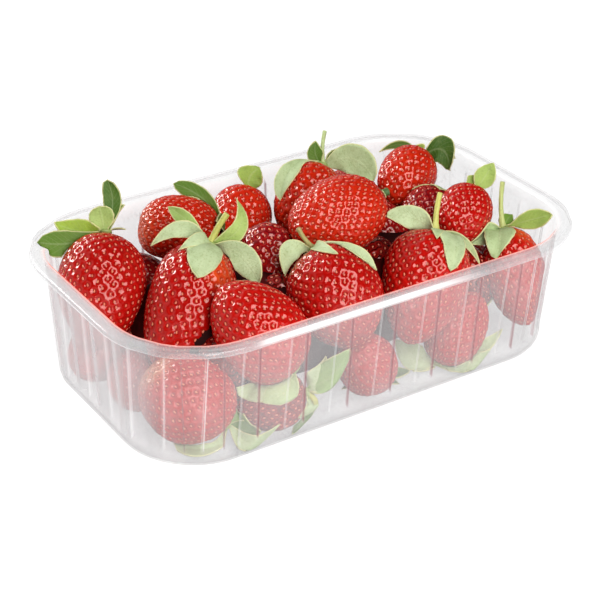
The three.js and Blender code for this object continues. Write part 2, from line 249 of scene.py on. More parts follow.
    def edit(self, *steps: Callable[[], Any]) -> "Workpiece":
        """Runs edit mode operators in turn, each with everything selected."""
        self.take()
        bpy.ops.object.mode_set(mode="EDIT")
        for step in steps:
            bpy.ops.mesh.select_all(action="SELECT")
            step()
        bpy.ops.object.mode_set(mode="OBJECT")
        return self

    def outward(self) -> "Workpiece":
        """Turns every face outwards."""
        return self.edit(lambda: bpy.ops.mesh.normals_make_consistent(inside=False))

    def thicken(self, thickness: float) -> "Workpiece":
        """Gives a blade its thickness, half to each side."""
        self.take()
        modifier = self.shape.modifiers.new("solidify", "SOLIDIFY")
        modifier.thickness = thickness * MM
        modifier.offset = 0.0
        bpy.ops.object.modifier_apply(modifier=modifier.name)
        return self

    def join(self, name: str, others: Sequence["Workpiece"]) -> "Workpiece":
        """Makes one piece of this and others."""
        self.take()
        for other in others:
            other.shape.select_set(True)
        bpy.ops.object.join()
        self.shape.name = name
        return self

    def finish(self, material: bpy.types.Material, node: str, slot: Optional[str] = None) -> None:
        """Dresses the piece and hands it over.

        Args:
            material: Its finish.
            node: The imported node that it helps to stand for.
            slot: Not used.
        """
        self.take()
        bpy.ops.object.shade_smooth()
        self.shape.data.materials.clear()
        self.shape.data.materials.append(material)
        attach(self.shape, "root")
        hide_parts(node)
        triangles = sum(len(face.vertices) - 2 for face in self.shape.data.polygons)
        LOG.info("%s: %d triangles", self.shape.name, triangles)


# ---------------------------------------------------------------- finishes

Feed = Union["Value", float, Colour]


class Value:
    """A socket that adds Math nodes when it is used in arithmetic."""

    def __init__(self, recipe: "Recipe", socket: bpy.types.NodeSocket) -> None:
        """Wraps an output socket."""
        self.recipe = recipe
        self.socket = socket

    def beside(self, out: Union[str, int]) -> "Value":
        """Another output of the same node."""
        return Value(self.recipe, self.socket.node.outputs[out])

    def math(self, operation: str, *feeds: Feed) -> "Value":
        """The result of one Math node on numbers or values."""
        return self.recipe.node("ShaderNodeMath", {"operation": operation}, dict(enumerate(feeds)))

    def __add__(self, other: Feed) -> "Value":
        """self + other."""
        return self.math("ADD", self, other)

    def __sub__(self, other: Feed) -> "Value":
        """self - other."""
        return self.math("SUBTRACT", self, other)

    def __rsub__(self, other: Feed) -> "Value":
        """other - self."""
        return self.math("SUBTRACT", other, self)

    def __mul__(self, other: Feed) -> "Value":
        """self * other."""
        return self.math("MULTIPLY", self, other)

    def __pow__(self, power: float) -> "Value":
        """self to a power."""
        return self.math("POWER", self, power)

    def size(self) -> "Value":
        """Its size without its sign."""
        return self.math("ABSOLUTE", self)

    def sine(self) -> "Value":
        """Its sine."""
        return self.math("SINE", self)

    def ramp(self, low: float, high: float, start: float = 0.0, end: float = 1.0) -> "Value":
        """Rises smoothly from start at low to end at high."""
        settings = {"interpolation_type": "SMOOTHSTEP"}
        return self.recipe.node("ShaderNodeMapRange", settings, {0: self, 1: low, 2: high, 3: start, 4: end})


class Recipe:
    """The node tree of one finish, or of the world."""

    def __init__(self, owner: Union[bpy.types.Material, bpy.types.World]) -> None:
        """Empties the tree of a material or a world."""
        owner.use_nodes = True
        self.owner = owner
        self.tree = owner.node_tree
        self.tree.nodes.clear()

    @classmethod
    def named(cls, name: str) -> "Recipe":
        """Starts a new material."""
        return cls(bpy.data.materials.new(name))

    def node(
        self,
        kind: str,
        settings: Optional[Mapping[str, Any]] = None,
        sockets: Optional[Mapping[Union[str, int], Feed]] = None,
        out: Union[str, int] = 0,
    ) -> Value:
        """Adds one node.

        Args:
            kind: The node's type.
            settings: Its settings, which are made before its sockets are used.
            sockets: Values or links for its sockets, by name or number.
            out: The output that is wanted.

        Returns:
            That output.
        """
        made = self.tree.nodes.new(kind)
        for key, value in (settings or {}).items():
            setattr(made, key, value)
        for key, value in (sockets or {}).items():
            if isinstance(value, Value):
                self.tree.links.new(value.socket, made.inputs[key])
            elif made.inputs[key].type == "RGBA":
                made.inputs[key].default_value = (*value, 1.0)
            else:
                made.inputs[key].default_value = value
        return Value(self, made.outputs[out])

    def noise(self, size: float, detail: float = 2.0) -> Value:
        """Even noise whose lumps are about that many millimetres across."""
        where = self.node("ShaderNodeTexCoord", out="Object")
        sockets = {"Vector": where, "Scale": 1.0 / (size * MM), "Detail": detail}
        return self.node("ShaderNodeTexNoise", None, sockets)

    def attribute(self, name: str, out: str = "Fac") -> Value:
        """What a piece noted under a name, as a number or a Color."""
        return self.node("ShaderNodeAttribute", {"attribute_name": name}, out=out)

    def mix(self, share: Feed, first: Feed, second: Feed) -> Value:
        """A colour between two others."""
        settings = {"data_type": "RGBA", "clamp_factor": True}
        return self.node("ShaderNodeMix", settings, {0: share, 6: first, 7: second}, out=2)

    def blend(self, share: Value, first: Value, second: Value) -> Value:
        """A shader between two others."""
        return self.node("ShaderNodeMixShader", None, {0: share, 1: first, 2: second})

    def bump(self, height: Value, depth: float) -> Value:
        """A normal for a relief of that many millimetres."""
        return self.node("ShaderNodeBump", None, {"Height": height, "Distance": depth * MM})

    def principled(self, **sockets: Feed) -> Value:
        """A Principled shader; an underscore in a socket's name stands for a space."""
        named = {key.replace("_", " "): value for key, value in sockets.items()}
        return self.node("ShaderNodeBsdfPrincipled", None, named)

    def done(self, surface: Value, output: str = "ShaderNodeOutputMaterial") -> Any:
        """Puts a shader on the surface, and hands back the material or the world."""
        self.tree.links.new(surface.socket, self.tree.nodes.new(output).inputs["Surface"])
        return self.owner

    def finished(self, **sockets: Feed) -> bpy.types.Material:
        """The material, with a Principled shader alone on its surface."""
        return self.done(self.principled(**sockets))


@dataclass(frozen=True)
class Grain:
    """Noise that sets in smoothly.

    Attributes:
        size: The width of its lumps in millimetres.
        rise: The values of the noise between which it sets in.
        strength: How much of it there is at most.
        detail: How many finer layers it has.
    """

    size: float
    rise: Span
    strength: float = 1.0
    detail: float = 3.0

    def grow(self, recipe: Recipe) -> Value:
        """Adds it to a recipe."""
        return recipe.noise(self.size, self.detail).ramp(*self.rise) * self.strength


@dataclass(frozen=True)
class SkinFinish:
    """The glossy skin of a berry: slow mottling, a painted highlight ring round each pit, and painted shade
    down in the pits.

    A rise or fall gives the depths, as shares of a pit's, between which a colour sets in or ends.
    """

    name: str = "berry_skin"
    mottle: Colour = (0.30, 0.003, 0.002)
    mottling: Grain = Grain(7.0, (0.45, 0.75), 0.45)
    # Painted shade down in each pit.
    pit: Colour = (0.25, 0.005, 0.003)
    pit_shade_rise: Span = (0.45, 0.95)
    pit_share: float = 0.6
    # A painted highlight ring on the ridge round each pit.
    ridge_highlight: Colour = (0.52, 0.012, 0.008)
    ridge_highlight_rise: Span = (0.05, 0.3)
    ridge_highlight_fall: Span = (0.4, 0.75)
    ridge_highlight_share: float = 0.4
    shine: Colour = (1.0, 0.76, 0.7)
    gloss: float = 0.09
    refraction: float = 1.6

    def material(self) -> bpy.types.Material:
        """Lays mottling, painted highlight rings and painted shade in the pits over the flush noted on the
        fruit.

        Returns:
            The material.
        """
        recipe = Recipe.named(self.name)
        depth = recipe.attribute("pit")
        mottled = recipe.mix(self.mottling.grow(recipe), recipe.attribute("flush", "Color"), self.mottle)
        # A painted highlight ring on the ridge round each pit.
        ring = depth.ramp(*self.ridge_highlight_rise) * (1.0 - depth.ramp(*self.ridge_highlight_fall))
        ringed = recipe.mix(ring * self.ridge_highlight_share, mottled, self.ridge_highlight)
        return recipe.finished(
            # Painted shade darkens the skin down in the pits.
            Base_Color=recipe.mix(depth.ramp(*self.pit_shade_rise) * self.pit_share, ringed, self.pit),
            Roughness=self.gloss,
            IOR=self.refraction,
            Specular_Tint=self.shine,
        )


@dataclass(frozen=True)
class DriftFinish:
    """A plain finish whose colour drifts slowly between two others."""

    name: str
    first: Colour
    second: Colour
    drift: Grain
    roughness: float
    shine: float = 0.5

    def material(self) -> bpy.types.Material:
        """Lets one colour drift into the other."""
        recipe = Recipe.named(self.name)
        colour = recipe.mix(self.drift.grow(recipe), self.first, self.second)
        return recipe.finished(Base_Color=colour, Roughness=self.roughness, Specular_IOR_Level=self.shine)


STRAW = DriftFinish(
    name="seed",
    first=(0.74, 0.23, 0.12),
    second=(0.72, 0.17, 0.11),
    drift=Grain(3.0, (0.35, 0.65), detail=2.0),
    roughness=0.35,
)
# A near-black body in the gaps of the heap: painted shade.
SHADE_FILL = DriftFinish(
    name="heap_painted_shade",
    first=(0.015, 0.0005, 0.0005),
    second=(0.06, 0.001, 0.001),
    drift=Grain(9.0, (0.3, 0.7), detail=2.0),
    roughness=0.7,
    shine=0.1,
)


@dataclass(frozen=True)
class LeafFinish:
    """A matt calyx leaf with a cream margin, a midrib, slanting side veins and fine specks.

    The midrib's span is in shares of half the leaf's width, and the margin's in millimetres from the edge.
    """

    name: str = "calyx_leaf"
    vein: Colour = (0.62, 0.66, 0.4)
    vein_share: float = 0.12
    lateral_share: float = 0.5
    laterals: float = 9.0
    slant: float = 2.4
    lateral_rise: Span = (0.75, 1.0)
    midrib: Span = (0.03, 0.12)
    dark: Colour = (0.16, 0.22, 0.05)
    specks: Grain = Grain(0.7, (0.5, 0.72), 0.3)
    blotches: Grain = Grain(4.0, (0.4, 0.75), 0.25)
    cream: Colour = (0.7, 0.66, 0.33)
    margin: Span = (0.1, 0.5)
    cream_share: float = 0.75
    roughness: float = 0.55
    shine: float = 0.25
    grit: float = 0.8
    vein_relief: float = 3.0
    relief: float = 0.15

    def material(self) -> bpy.types.Material:
        """Draws the veins by the leaf's own UV map and the margin by its distance from the edge.

        Returns:
            The material.
        """
        recipe = Recipe.named(self.name)
        place = recipe.node("ShaderNodeSeparateXYZ", None, {0: recipe.node("ShaderNodeTexCoord", out="UV")})
        across = (place * 2.0 - 1.0).size()
        wave = (place.beside(1) * self.laterals - across * self.slant) * (2.0 * math.pi)
        lateral = wave.sine().ramp(*self.lateral_rise)
        veins = (lateral * self.lateral_share + (1.0 - across.ramp(*self.midrib))) * self.vein_share
        light = recipe.mix(veins, recipe.attribute("tone", "Color"), self.vein)
        specked = recipe.mix(self.specks.grow(recipe) + self.blotches.grow(recipe), light, self.dark)
        edge = 1.0 - recipe.attribute("margin").ramp(*self.margin)
        height = recipe.noise(self.grit, 3.0) + veins * self.vein_relief
        return recipe.finished(
            Base_Color=recipe.mix(edge * self.cream_share, specked, self.cream),
            Roughness=self.roughness,
            Specular_IOR_Level=self.shine,
            Normal=recipe.bump(height, self.relief),
        )


@dataclass(frozen=True)
class StemFinish:
    """A stalk, a calyx button or a stamen: dark streaks over its own tone, and a fine relief."""

    name: str = "stem"
    dark: Colour = (0.2, 0.19, 0.05)
    streaks: Grain = Grain(0.9, (0.5, 0.8), 0.45)
    roughness: float = 0.5
    grit: float = 0.6
    relief: float = 0.1

    def material(self) -> bpy.types.Material:
        """Streaks the noted tone."""
        recipe = Recipe.named(self.name)
        colour = recipe.mix(self.streaks.grow(recipe), recipe.attribute("tone", "Color"), self.dark)
        normal = recipe.bump(recipe.noise(self.grit), self.relief)
        return recipe.finished(Base_Color=colour, Roughness=self.roughness, Normal=normal)


@dataclass(frozen=True)
class SheetFinish:
    """Clear thermoformed sheet: a see-through film that turns milky by what the tray notes on it, and
    that carries painted highlights, painted shade and a painted reflection of the berries.

    A share is how milky the sheet gets where the tray notes the whole of a thing, the haze how milky it
    is everywhere, and the frost how milky frosting is between its specks. The milky film glows with its
    own colour, which is painted light. The mirror is that of the sheet seen square on, to which the
    sheen adds at a slant.
    """

    name: str = "clear_sheet"
    milk: Colour = (0.5, 0.49, 0.495)
    frosted: Colour = (0.2, 0.2, 0.205)
    # Painted light on the sheet: light is the painted highlight on folds and rim, shadow the painted shade
    # on the flutes' far flanks, and the red under them the painted reflection of the berries in the rim's
    # inner edge.
    light: Colour = (0.95, 0.95, 0.95)
    shadow: Colour = (0.2, 0.07, 0.08)
    berry_reflection: Colour = (0.95, 0.2, 0.13)
    clouds: Grain = Grain(14.0, (0.3, 0.8), 0.05)
    specks: Grain = Grain(1.6, (0.55, 0.75), 0.12)
    frost: float = 0.09
    haze: float = 0.10
    mist_share: float = 0.3
    light_share: float = 0.8
    shadow_share: float = 0.5
    berry_reflection_share: float = 0.4
    # The milky film's own glow: painted light that brightens the haze and its painted marks.
    glow: float = 0.34
    roughness: float = 0.6
    shine: float = 0.2
    mirror: float = 0.04
    sheen: float = 0.1
    slant: float = 5.0
    blur: float = 0.2

    def material(self) -> bpy.types.Material:
        """Mixes a see-through film, a glowing milky film that carries the painted highlights, shade and
        reflection, and a mirror.

        Returns:
            The material.
        """
        recipe = Recipe.named(self.name)
        names = ("bright", "dark", "berry_reflection", "frost", "mist")
        bright, dark, berry_reflection, frost, mist = (recipe.attribute(name) for name in names)
        body = recipe.mix(frost, self.milk, self.frosted)
        lit = recipe.mix(berry_reflection, recipe.mix(bright, body, self.light), self.berry_reflection)
        colour = recipe.mix(dark, lit, self.shadow)
        # The milky film glows in its own colour: painted light.
        milky = recipe.principled(
            Base_Color=colour,
            Roughness=self.roughness,
            Specular_IOR_Level=self.shine,
            Emission_Color=colour,
            Emission_Strength=self.glow / self.milk[0],
        )
        # Painted highlights, shade and reflection also make the film more opaque where they lie.
        amount = self.clouds.grow(recipe) + (self.specks.grow(recipe) + self.frost) * frost
        amount = amount + mist * self.mist_share + bright * self.light_share
        amount = amount + dark * self.shadow_share + berry_reflection * self.berry_reflection_share + self.haze
        film = recipe.blend(amount, recipe.node("ShaderNodeBsdfTransparent"), milky)
        gloss = recipe.node("ShaderNodeBsdfGlossy", None, {"Roughness": self.blur})
        facing = recipe.node("ShaderNodeLayerWeight", None, {"Blend": 0.5}, out="Facing")
        return recipe.done(recipe.blend(facing**self.slant * self.sheen + self.mirror, film, gloss))


@dataclass(frozen=True)
class FloorFinish:
    """A matt floor: the glow seen by the eye is white, and the glow thrown on the punnet is weaker."""

    name: str = "floor"
    base: Colour = (0.35, 0.35, 0.35)
    seen: Colour = WHITE
    thrown: Colour = (0.25, 0.25, 0.25)
    glow: float = 0.75
    roughness: float = 0.9

    def material(self) -> bpy.types.Material:
        """Gives the floor one glow to the eye and another to all else.

        Returns:
            The material.
        """
        recipe = Recipe.named(self.name)
        eye = recipe.node("ShaderNodeLightPath", out="Is Camera Ray")
        return recipe.finished(
            Base_Color=self.base,
            Roughness=self.roughness,
            Specular_IOR_Level=0.0,
            Emission_Color=recipe.mix(eye, self.thrown, self.seen),
            Emission_Strength=self.glow,
        )


# ---------------------------------------------------------------- the tray


@dataclass(frozen=True)
class Outline:
    """A rounded rectangle: half sizes and the radius of its corners."""

    half_x: Measure
    half_y: Measure
    corner: Measure

    def grown(self, other: "Outline", share: Measure) -> "Outline":
        """The outline, or outlines, that lie a share of the way to another."""
        pairs = zip((self.half_x, self.half_y, self.corner), (other.half_x, other.half_y, other.corner))
        return Outline(*(own * (1.0 - share) + far * share for own, far in pairs))


class Fold(float, Enum):
    """A line along a flute that carries a painted highlight or painted shade: how much of the flank's run
    it lies out.
    """

    CREASE = -1.45
    LIT = -0.5
    SHADED = 0.5


@dataclass(frozen=True)
class Station:
    """A place along the outline of the tray.

    Attributes:
        side: Which straight side it starts from, counted from the +X end.
        along: Millimetres from the middle of the straight side, or degrees round the corner after it.
        turned: Whether it lies on the corner.
        spread: How much of half the flute's width is added to along.
        flank: How much of the flank's run is added to that.
        depth: How deep the flute is there, from 0 to 1.
    """

    side: int
    along: float
    turned: bool
    spread: float = 0.0
    flank: float = 0.0
    depth: float = 0.0

    def turn(self) -> float:
        """The heading of the wall there, in degrees."""
        return self.side * 90.0 + (self.along if self.turned else 0.0)


@dataclass(frozen=True)
class Level:
    """One ring of the tray's skin.

    Attributes:
        z: Its height.
        inset: How far it lies inside the outer face of the wall, or outside it if negative.
        flutes: How much of the flutes shows at it, from 0 to 1.
        shrink: Its size as a share of the outline's, for the rings of the base.
        bright: How much painted highlight its fold carries.
        frost: How frosted it is.
        shine: How much more painted highlight it carries along the front.
        berry_reflection: How much painted reflection of the fruit's red it carries on the near sides.
    """

    z: float
    inset: float
    flutes: float = 0.0
    shrink: float = 1.0
    bright: float = 0.0
    frost: float = 0.0
    shine: float = 0.0
    berry_reflection: float = 0.0


@dataclass(frozen=True)
class FoldLight:
    """Where painted highlights and painted shade lie on the tray's sheet, and where it is frosted or misty,
    from 0 to 1.

    A wall is near as far as it turns to the level way called near, and there it carries the painted
    reflection of the berries. The crease is the painted highlight along the foot of a flute and the flute
    that on its lit flank, and the ends lose part of these and of the painted shade on the other flank. The
    strip is the painted highlight on the front rim, which starts and ends over stretches of X. The mist lies
    on the left-hand end and faintly on the front. Rises are in cosines.
    """

    near: tuple[float, float] = (-0.55, -0.83)
    near_rise: Span = (0.1, 0.5)
    crease: float = 0.35
    flute: float = 0.45
    flute_loss: float = 0.33
    shade_loss: float = 0.6
    far_loss: float = 0.7
    strip: float = 0.8
    strip_start: Span = (-62.0, -48.0)
    strip_end: Span = (5.0, 45.0)
    square: float = 0.99
    far_frost: float = 0.7
    far_rim_loss: float = 0.6
    end_power: int = 6
    front_mist: float = 0.2
    front_rise: Span = (0.85, 1.0)


@dataclass
class Tray:
    """The clear tray: fluted walls, a rounded base, and a flat rim with a turned-down lip.

    Each size is named after what it measures. The overhang gives the heights beside the rim's between
    which what lies in the tray may spread out over the rim, the thaw is the share of the base's frosting
    that its fillet loses, and the corner's steps are the angles before and after its flutes.
    """

    rim_length: float = 187.0
    rim_width: float = 115.4
    height: float = 50.0
    base_length: float = 172.0
    base_width: float = 96.7
    rim_corner: float = 35.7
    base_corner: float = 27.6
    flange: float = 5.0
    lip: float = 2.2
    wall: float = 0.6
    base_fillet: float = 4.0
    rib_depth: float = 1.0
    rib_top_width: float = 4.5
    rib_foot_width: float = 6.5
    rib_slope: float = 0.8
    rib_foot: float = 8.0
    rib_head: float = 43.0
    rib_runout: float = 2.0
    overhang: Span = (-1.0, 1.5)
    fillet_thaw: float = 0.7
    corner_steps: Sequence[Span] = ((0.0, 4.0), (86.0, 90.0))
    side_ribs: Sequence[float] = (-54, -36, -18, 0, 18, 36, 54)
    end_ribs: Sequence[float] = (-16, 0, 16)
    corner_ribs: Sequence[float] = (17.5, 45.0, 72.5)
    light: FoldLight = FoldLight()
    finish: SheetFinish = SheetFinish()

    def outline(self, z: float) -> Outline:
        """The outer face of the wall at a height."""
        top = Outline(
            self.rim_length / 2.0 - self.flange,
            self.rim_width / 2.0 - self.flange,
            self.rim_corner - self.flange,
        )
        base = Outline(self.base_length / 2.0, self.base_width / 2.0, self.base_corner)
        return base.grown(top, min(z, self.height) / self.height)

    def keep_in(self, points: np.ndarray, gap: float) -> np.ndarray:
        """Moves points that would touch the walls or the base to just inside them.

        Args:
            points: The points.
            gap: How much space is left to the sheet.

        Returns:
            The points, each inside the tray or above its rim.
        """
        rise = np.clip(points[:, 2] / self.height, 0.0, 1.0)
        outline = self.outline(0.0).grown(self.outline(self.height), rise)
        low, high = self.overhang
        over = smoothstep(self.height + low, self.height + high, points[:, 2])
        inset = (self.wall + gap) * (1.0 - over) - self.flange * over
        corner = outline.corner - inset
        straight = np.stack([half - inset - corner for half in (outline.half_x, outline.half_y)], axis=1)
        past = np.abs(points[:, :2]) - straight
        reach = np.hypot(*np.maximum(past, 0.0).T)
        shrink = np.where(reach > corner, corner / np.maximum(reach, 1e-6), 1.0)
        kept = points.copy()
        pulled = np.sign(points[:, :2]) * (straight + past * shrink[:, None])
        kept[:, :2] = np.where(past > 0.0, pulled, points[:, :2])
        kept[:, 2] = np.maximum(points[:, 2], self.wall + gap)
        return kept

    def stations(self) -> list[Station]:
        """The places along the outline, closer together where a flute's flanks are.

        Returns:
            The places, once round, starting on the +X end.
        """
        flute = [
            (-1, -1.7, 0), (-1, Fold.CREASE, 0), (-1, -1.2, 0), (-1, -1, 0), (-1, Fold.LIT, 0.5),
            (-1, 0, 1), (0, 0, 1), (1, 0, 1), (1, Fold.SHADED, 0.5), (1, 1, 0),
        ]
        made = []
        before, after = self.corner_steps
        for side in range(4):
            for middle in self.end_ribs if side % 2 == 0 else self.side_ribs:
                made += [Station(side, middle, False, *step) for step in flute]
            made += [Station(side, angle, True) for angle in before]
            for angle in self.corner_ribs:
                made += [Station(side, angle, True, *step) for step in flute]
            made += [Station(side, angle, True) for angle in after]
        return made

    def fillet(self, start: float, radius: float) -> list[Level]:
        """The rings round the edge of the base, where its frosting thins out.

        Args:
            start: The height at which the fillet starts, and its inset at the wall.
            radius: Its radius.

        Returns:
            The rings from the base up.
        """
        made = []
        for share in np.linspace(0.0, 1.0, 5):
            angle = share * math.pi / 2.0
            z, inset = (start + radius * (1.0 - part) for part in (math.cos(angle), math.sin(angle)))
            made.append(Level(z, inset, frost=1.0 - self.fillet_thaw * share))
        return made

    def levels(self) -> list[Level]:
        """The rings from the middle of the base up the inside, over the rim and down the outside.

        Returns:
            The rings, each of which joins the next.
        """
        top, wall, flange, lip = self.height, self.wall, self.flange, self.lip
        base = [Level(wall, self.base_fillet, shrink=share, frost=1.0) for share in (0.25, 0.5, 0.75, 0.93)]
        fluted = [
            Level(self.rib_foot - 2.0, wall, 0.0),
            Level(self.rib_foot - 1.0, wall, 0.5),
            Level(self.rib_foot, wall, 1.0),
            Level(20.0, wall, 1.0),
            Level(32.0, wall, 1.0),
            Level(self.rib_head, wall, 1.0),
            Level(self.rib_head + self.rib_runout / 2.0, wall, 0.5),
            Level(self.rib_head + self.rib_runout, wall, 0.0),
            Level(48.2, wall, 0.0),
        ]
        # The inner edge carries the painted reflection of the berries; the rim and lip carry painted
        # highlights.
        inner_edge = [
            Level(top - 0.9, wall - 0.05, berry_reflection=0.5),
            Level(top - 0.35, wall - 0.3, berry_reflection=1.0),
            Level(top - 0.15, wall - 0.9, bright=0.25, frost=0.5, berry_reflection=0.3),
        ]
        # The flange carries the painted highlight strip along the front.
        rim = [
            Level(top - 0.25, -1.4, frost=1.0),
            Level(top - 0.25, -2.6, frost=1.0),
            Level(top - 0.05, -3.1, bright=0.25, frost=1.0),
            Level(top, -3.6, frost=1.0, shine=0.3),
            Level(top - 0.1, -4.3, frost=1.0, shine=1.0),
            Level(top - 0.45, -4.8, bright=0.15, frost=1.0, shine=1.0),
            Level(top - 1.0, -flange, frost=0.6, shine=1.0),
        ]
        turned_down = [
            Level(top - lip + 0.3, -flange, frost=0.4, shine=0.2),
            Level(top - lip, -flange + 0.15, bright=0.35),
            Level(top - lip, -flange + 0.45, bright=0.1),
            Level(top - lip + 0.3, -flange + wall),
        ]
        under_rim = [
            Level(top - 1.1, -flange + wall + 0.1),
            Level(top - 0.8, -flange + wall + 0.4),
            Level(top - 0.75, -1.2),
            Level(top - 1.0, -0.35),
            Level(top - 1.6, 0.0),
        ]
        inside = base + self.fillet(wall, self.base_fillet - wall) + fluted
        over = inner_edge + rim + turned_down + under_rim
        outside = [replace(level, inset=0.0) for level in reversed(fluted)]
        foot = self.fillet(0.0, self.base_fillet)[::-1]
        under = [replace(level, z=0.0) for level in reversed(base)]
        return inside + over + outside + foot + under

    def ring(self, level: Level, stations: Sequence[Station]) -> np.ndarray:
        """The points of one ring.

        Args:
            level: The ring.
            stations: The places along the outline.

        Returns:
            One point for each station.
        """
        outline = self.outline(level.z)
        corner = outline.corner - level.inset
        width = self.rib_foot_width + (self.rib_top_width - self.rib_foot_width) * level.z / self.height
        points = []
        for place in stations:
            straight = (outline.half_x - outline.corner, outline.half_y - outline.corner)
            away, reach = straight if place.side % 2 == 0 else straight[::-1]
            away += corner
            offset = place.spread * width / 2.0 + place.flank * self.rib_slope
            deep = place.depth * level.flutes * self.rib_depth
            if place.turned:
                angle = math.radians(place.along) + offset / corner
                radius = corner - deep
                out = away - corner + radius * math.cos(angle)
                along = reach + radius * math.sin(angle)
            else:
                out, along = away - deep, place.along + offset
            turn = place.side * math.pi / 2.0
            points.append((
                (out * math.cos(turn) - along * math.sin(turn)) * level.shrink,
                (out * math.sin(turn) + along * math.cos(turn)) * level.shrink,
                level.z,
            ))
        return np.array(points)

    def build(self) -> None:
        """Wraps a ball round the tray's profile and dresses it."""
        stations, levels = self.stations(), self.levels()
        middle = np.zeros((len(stations), 3))
        rings = [self.ring(level, stations) for level in levels]
        grid = np.stack([middle + (0.0, 0.0, self.wall), *rings, middle])
        tray = Workpiece.ball("tray_sheet", len(stations), len(levels) + 1)
        tray.write(grid[tray.row, tray.column])
        self.note_light(tray, stations, levels)
        tray.outward().finish(self.finish.material(), "tray", "tray")
        tray.shape.visible_shadow = False

    def note_light(self, tray: Workpiece, stations: Sequence[Station], levels: Sequence[Level]) -> None:
        """Notes on the sheet where painted highlights and painted shade lie on its folds and rim, where the
        painted reflection of the berries lies, and where it is frosted.

        Args:
            tray: The sheet.
            stations: The place of each of its columns.
            levels: Its rings between the poles.
        """
        light = self.light
        x, _, z = tray.read().T
        turn = np.radians([place.turn() for place in stations])[tray.column]
        end, front = np.cos(turn), -np.sin(turn)
        flank = np.array([float(place.flank) for place in stations])[tray.column]
        crease, lit, shaded = (flank == float(fold) for fold in Fold)
        poles = Level(0.0, 0.0, frost=1.0)
        rings = [poles, *levels, poles]
        flutes, bright, frost, shine, berry_reflection = (
            np.array([getattr(level, name) for level in rings])[tray.row]
            for name in ("flutes", "bright", "frost", "shine", "berry_reflection")
        )
        toward = end * light.near[0] - front * light.near[1]
        near = smoothstep(*light.near_rise, toward)
        far = smoothstep(*light.near_rise, -toward)
        side_on = np.abs(end)
        flute = lit * (light.flute - light.flute_loss * side_on) + crease * light.crease * (1.0 - side_on)
        # The painted highlight strip along the front rim.
        strip = smoothstep(*light.strip_start, x) * (1.0 - smoothstep(*light.strip_end, x))
        strip *= light.strip * shine * (front > light.square)
        on_rim = z > self.height - self.lip - self.wall / 2.0
        frosted = np.maximum(frost, far * light.far_frost) * (1.0 - light.far_rim_loss * far * on_rim)
        left_end = np.clip(-end, 0.0, 1.0) ** light.end_power
        mist = np.maximum(left_end, light.front_mist * smoothstep(*light.front_rise, front))
        # Painted highlights on the flutes and rim, painted shade on the flutes' far flanks, and the painted
        # reflection of the berries on the near sides.
        edges = np.maximum(flute * flutes, bright * (1.0 - light.far_loss * far))
        tray.note("bright", np.maximum(edges, strip))
        tray.note("dark", shaded * (1.0 - light.shade_loss * side_on) * flutes)
        tray.note("berry_reflection", berry_reflection * near)
        tray.note("frost", frosted)
        tray.note("mist", mist * (1.0 - frosted))


# ---------------------------------------------------------------- the fruit


class Form(Enum):
    """How a berry swells under its crown and narrows to its tip: shoulder and taper."""

    CONE = (0.40, 0.60)
    LONG = (0.38, 0.62)
    PLUMP = (0.42, 0.52)
    EGG = (0.45, 0.50)
    PLAIN = (0.42, 0.55)
    BARREL = (0.42, 0.34)
    BROAD = (0.33, 0.55)

    def swell(self, share: Measure) -> Measure:
        """The radius as a share of the greatest one, from the crown (0) to the tip (1)."""
        shoulder, taper = self.value
        widest = shoulder / (shoulder + taper)
        most = widest**shoulder * (1.0 - widest) ** taper
        return share**shoulder * (1.0 - share) ** taper / most


class Flush(Enum):
    """The colour of a berry's skin; SHADE is painted shade for the berries down in the heap's gaps."""

    RED = (0.45, 0.004, 0.002)
    BRIGHT = (0.56, 0.02, 0.003)
    DEEP = (0.38, 0.003, 0.002)
    MAROON = (0.16, 0.002, 0.005)
    # Near-black skin for berries that lie in the heap's gaps: painted shade.
    SHADE = (0.04, 0.001, 0.001)


ORANGE: Colour = (0.75, 0.09, 0.015)
PALE_TIP: Colour = (0.62, 0.36, 0.16)
SAGE: Colour = (0.52, 0.61, 0.36)
GRASS: Colour = (0.17, 0.32, 0.03)
DARK_LEAF: Colour = (0.03, 0.08, 0.006)
LIME: Colour = (0.34, 0.47, 0.03)


@dataclass(frozen=True)
class Leaf:
    """A leaf of a calyx.

    Attributes:
        turn: Degrees round the stalk.
        lift: Degrees above the crown's plane.
        length: Its length.
        width: Its greatest width.
        arch: How far its middle is raised, as a share of its length.
        shade: From 0, pale sage, to 1, dark green.
        lime: How much yellow green is mixed in.
        roll: Degrees that the blade turns about its own line.
        sweep: How far its middle lies to one side, as a share of its length.
        belly: The share of its length at which it is widest.
        point: How pointed its ends are, from 0.4, blunt, to 1.3.
    """

    turn: float
    lift: float
    length: float
    width: float
    arch: float = 0.2
    shade: float = 0.1
    lime: float = 0.0
    roll: float = 0.0
    sweep: float = 0.0
    belly: float = 0.44
    point: float = 0.8

    FOOT_WIDTH = 0.9

    def tone(self) -> np.ndarray:
        """Its colour."""
        if self.shade < 0.5:
            green = blended(SAGE, GRASS, self.shade * 2.0)
        else:
            green = blended(GRASS, DARK_LEAF, self.shade * 2.0 - 1.0)
        return green * (1.0 - self.lime) + np.array(LIME) * self.lime

    def half_width(self, along: np.ndarray) -> np.ndarray:
        """Half its width at shares of its length, which never falls to nothing at its foot."""
        place = np.clip(along, 0.0, 1.0) ** (math.log(0.5) / math.log(self.belly))
        rounded = np.clip(np.sin(math.pi * place), 0.0, 1.0) ** self.point
        return np.maximum(self.width / 2.0 * rounded, self.FOOT_WIDTH * (1.0 - along) ** 2)


@dataclass(frozen=True)
class Stalk:
    """A cut stalk: its turn round and lift above the crown, in degrees, its length and its tone."""

    turn: float
    lift: float
    length: float
    thick: float = 1.0
    tone: Colour = (0.50, 0.50, 0.12)


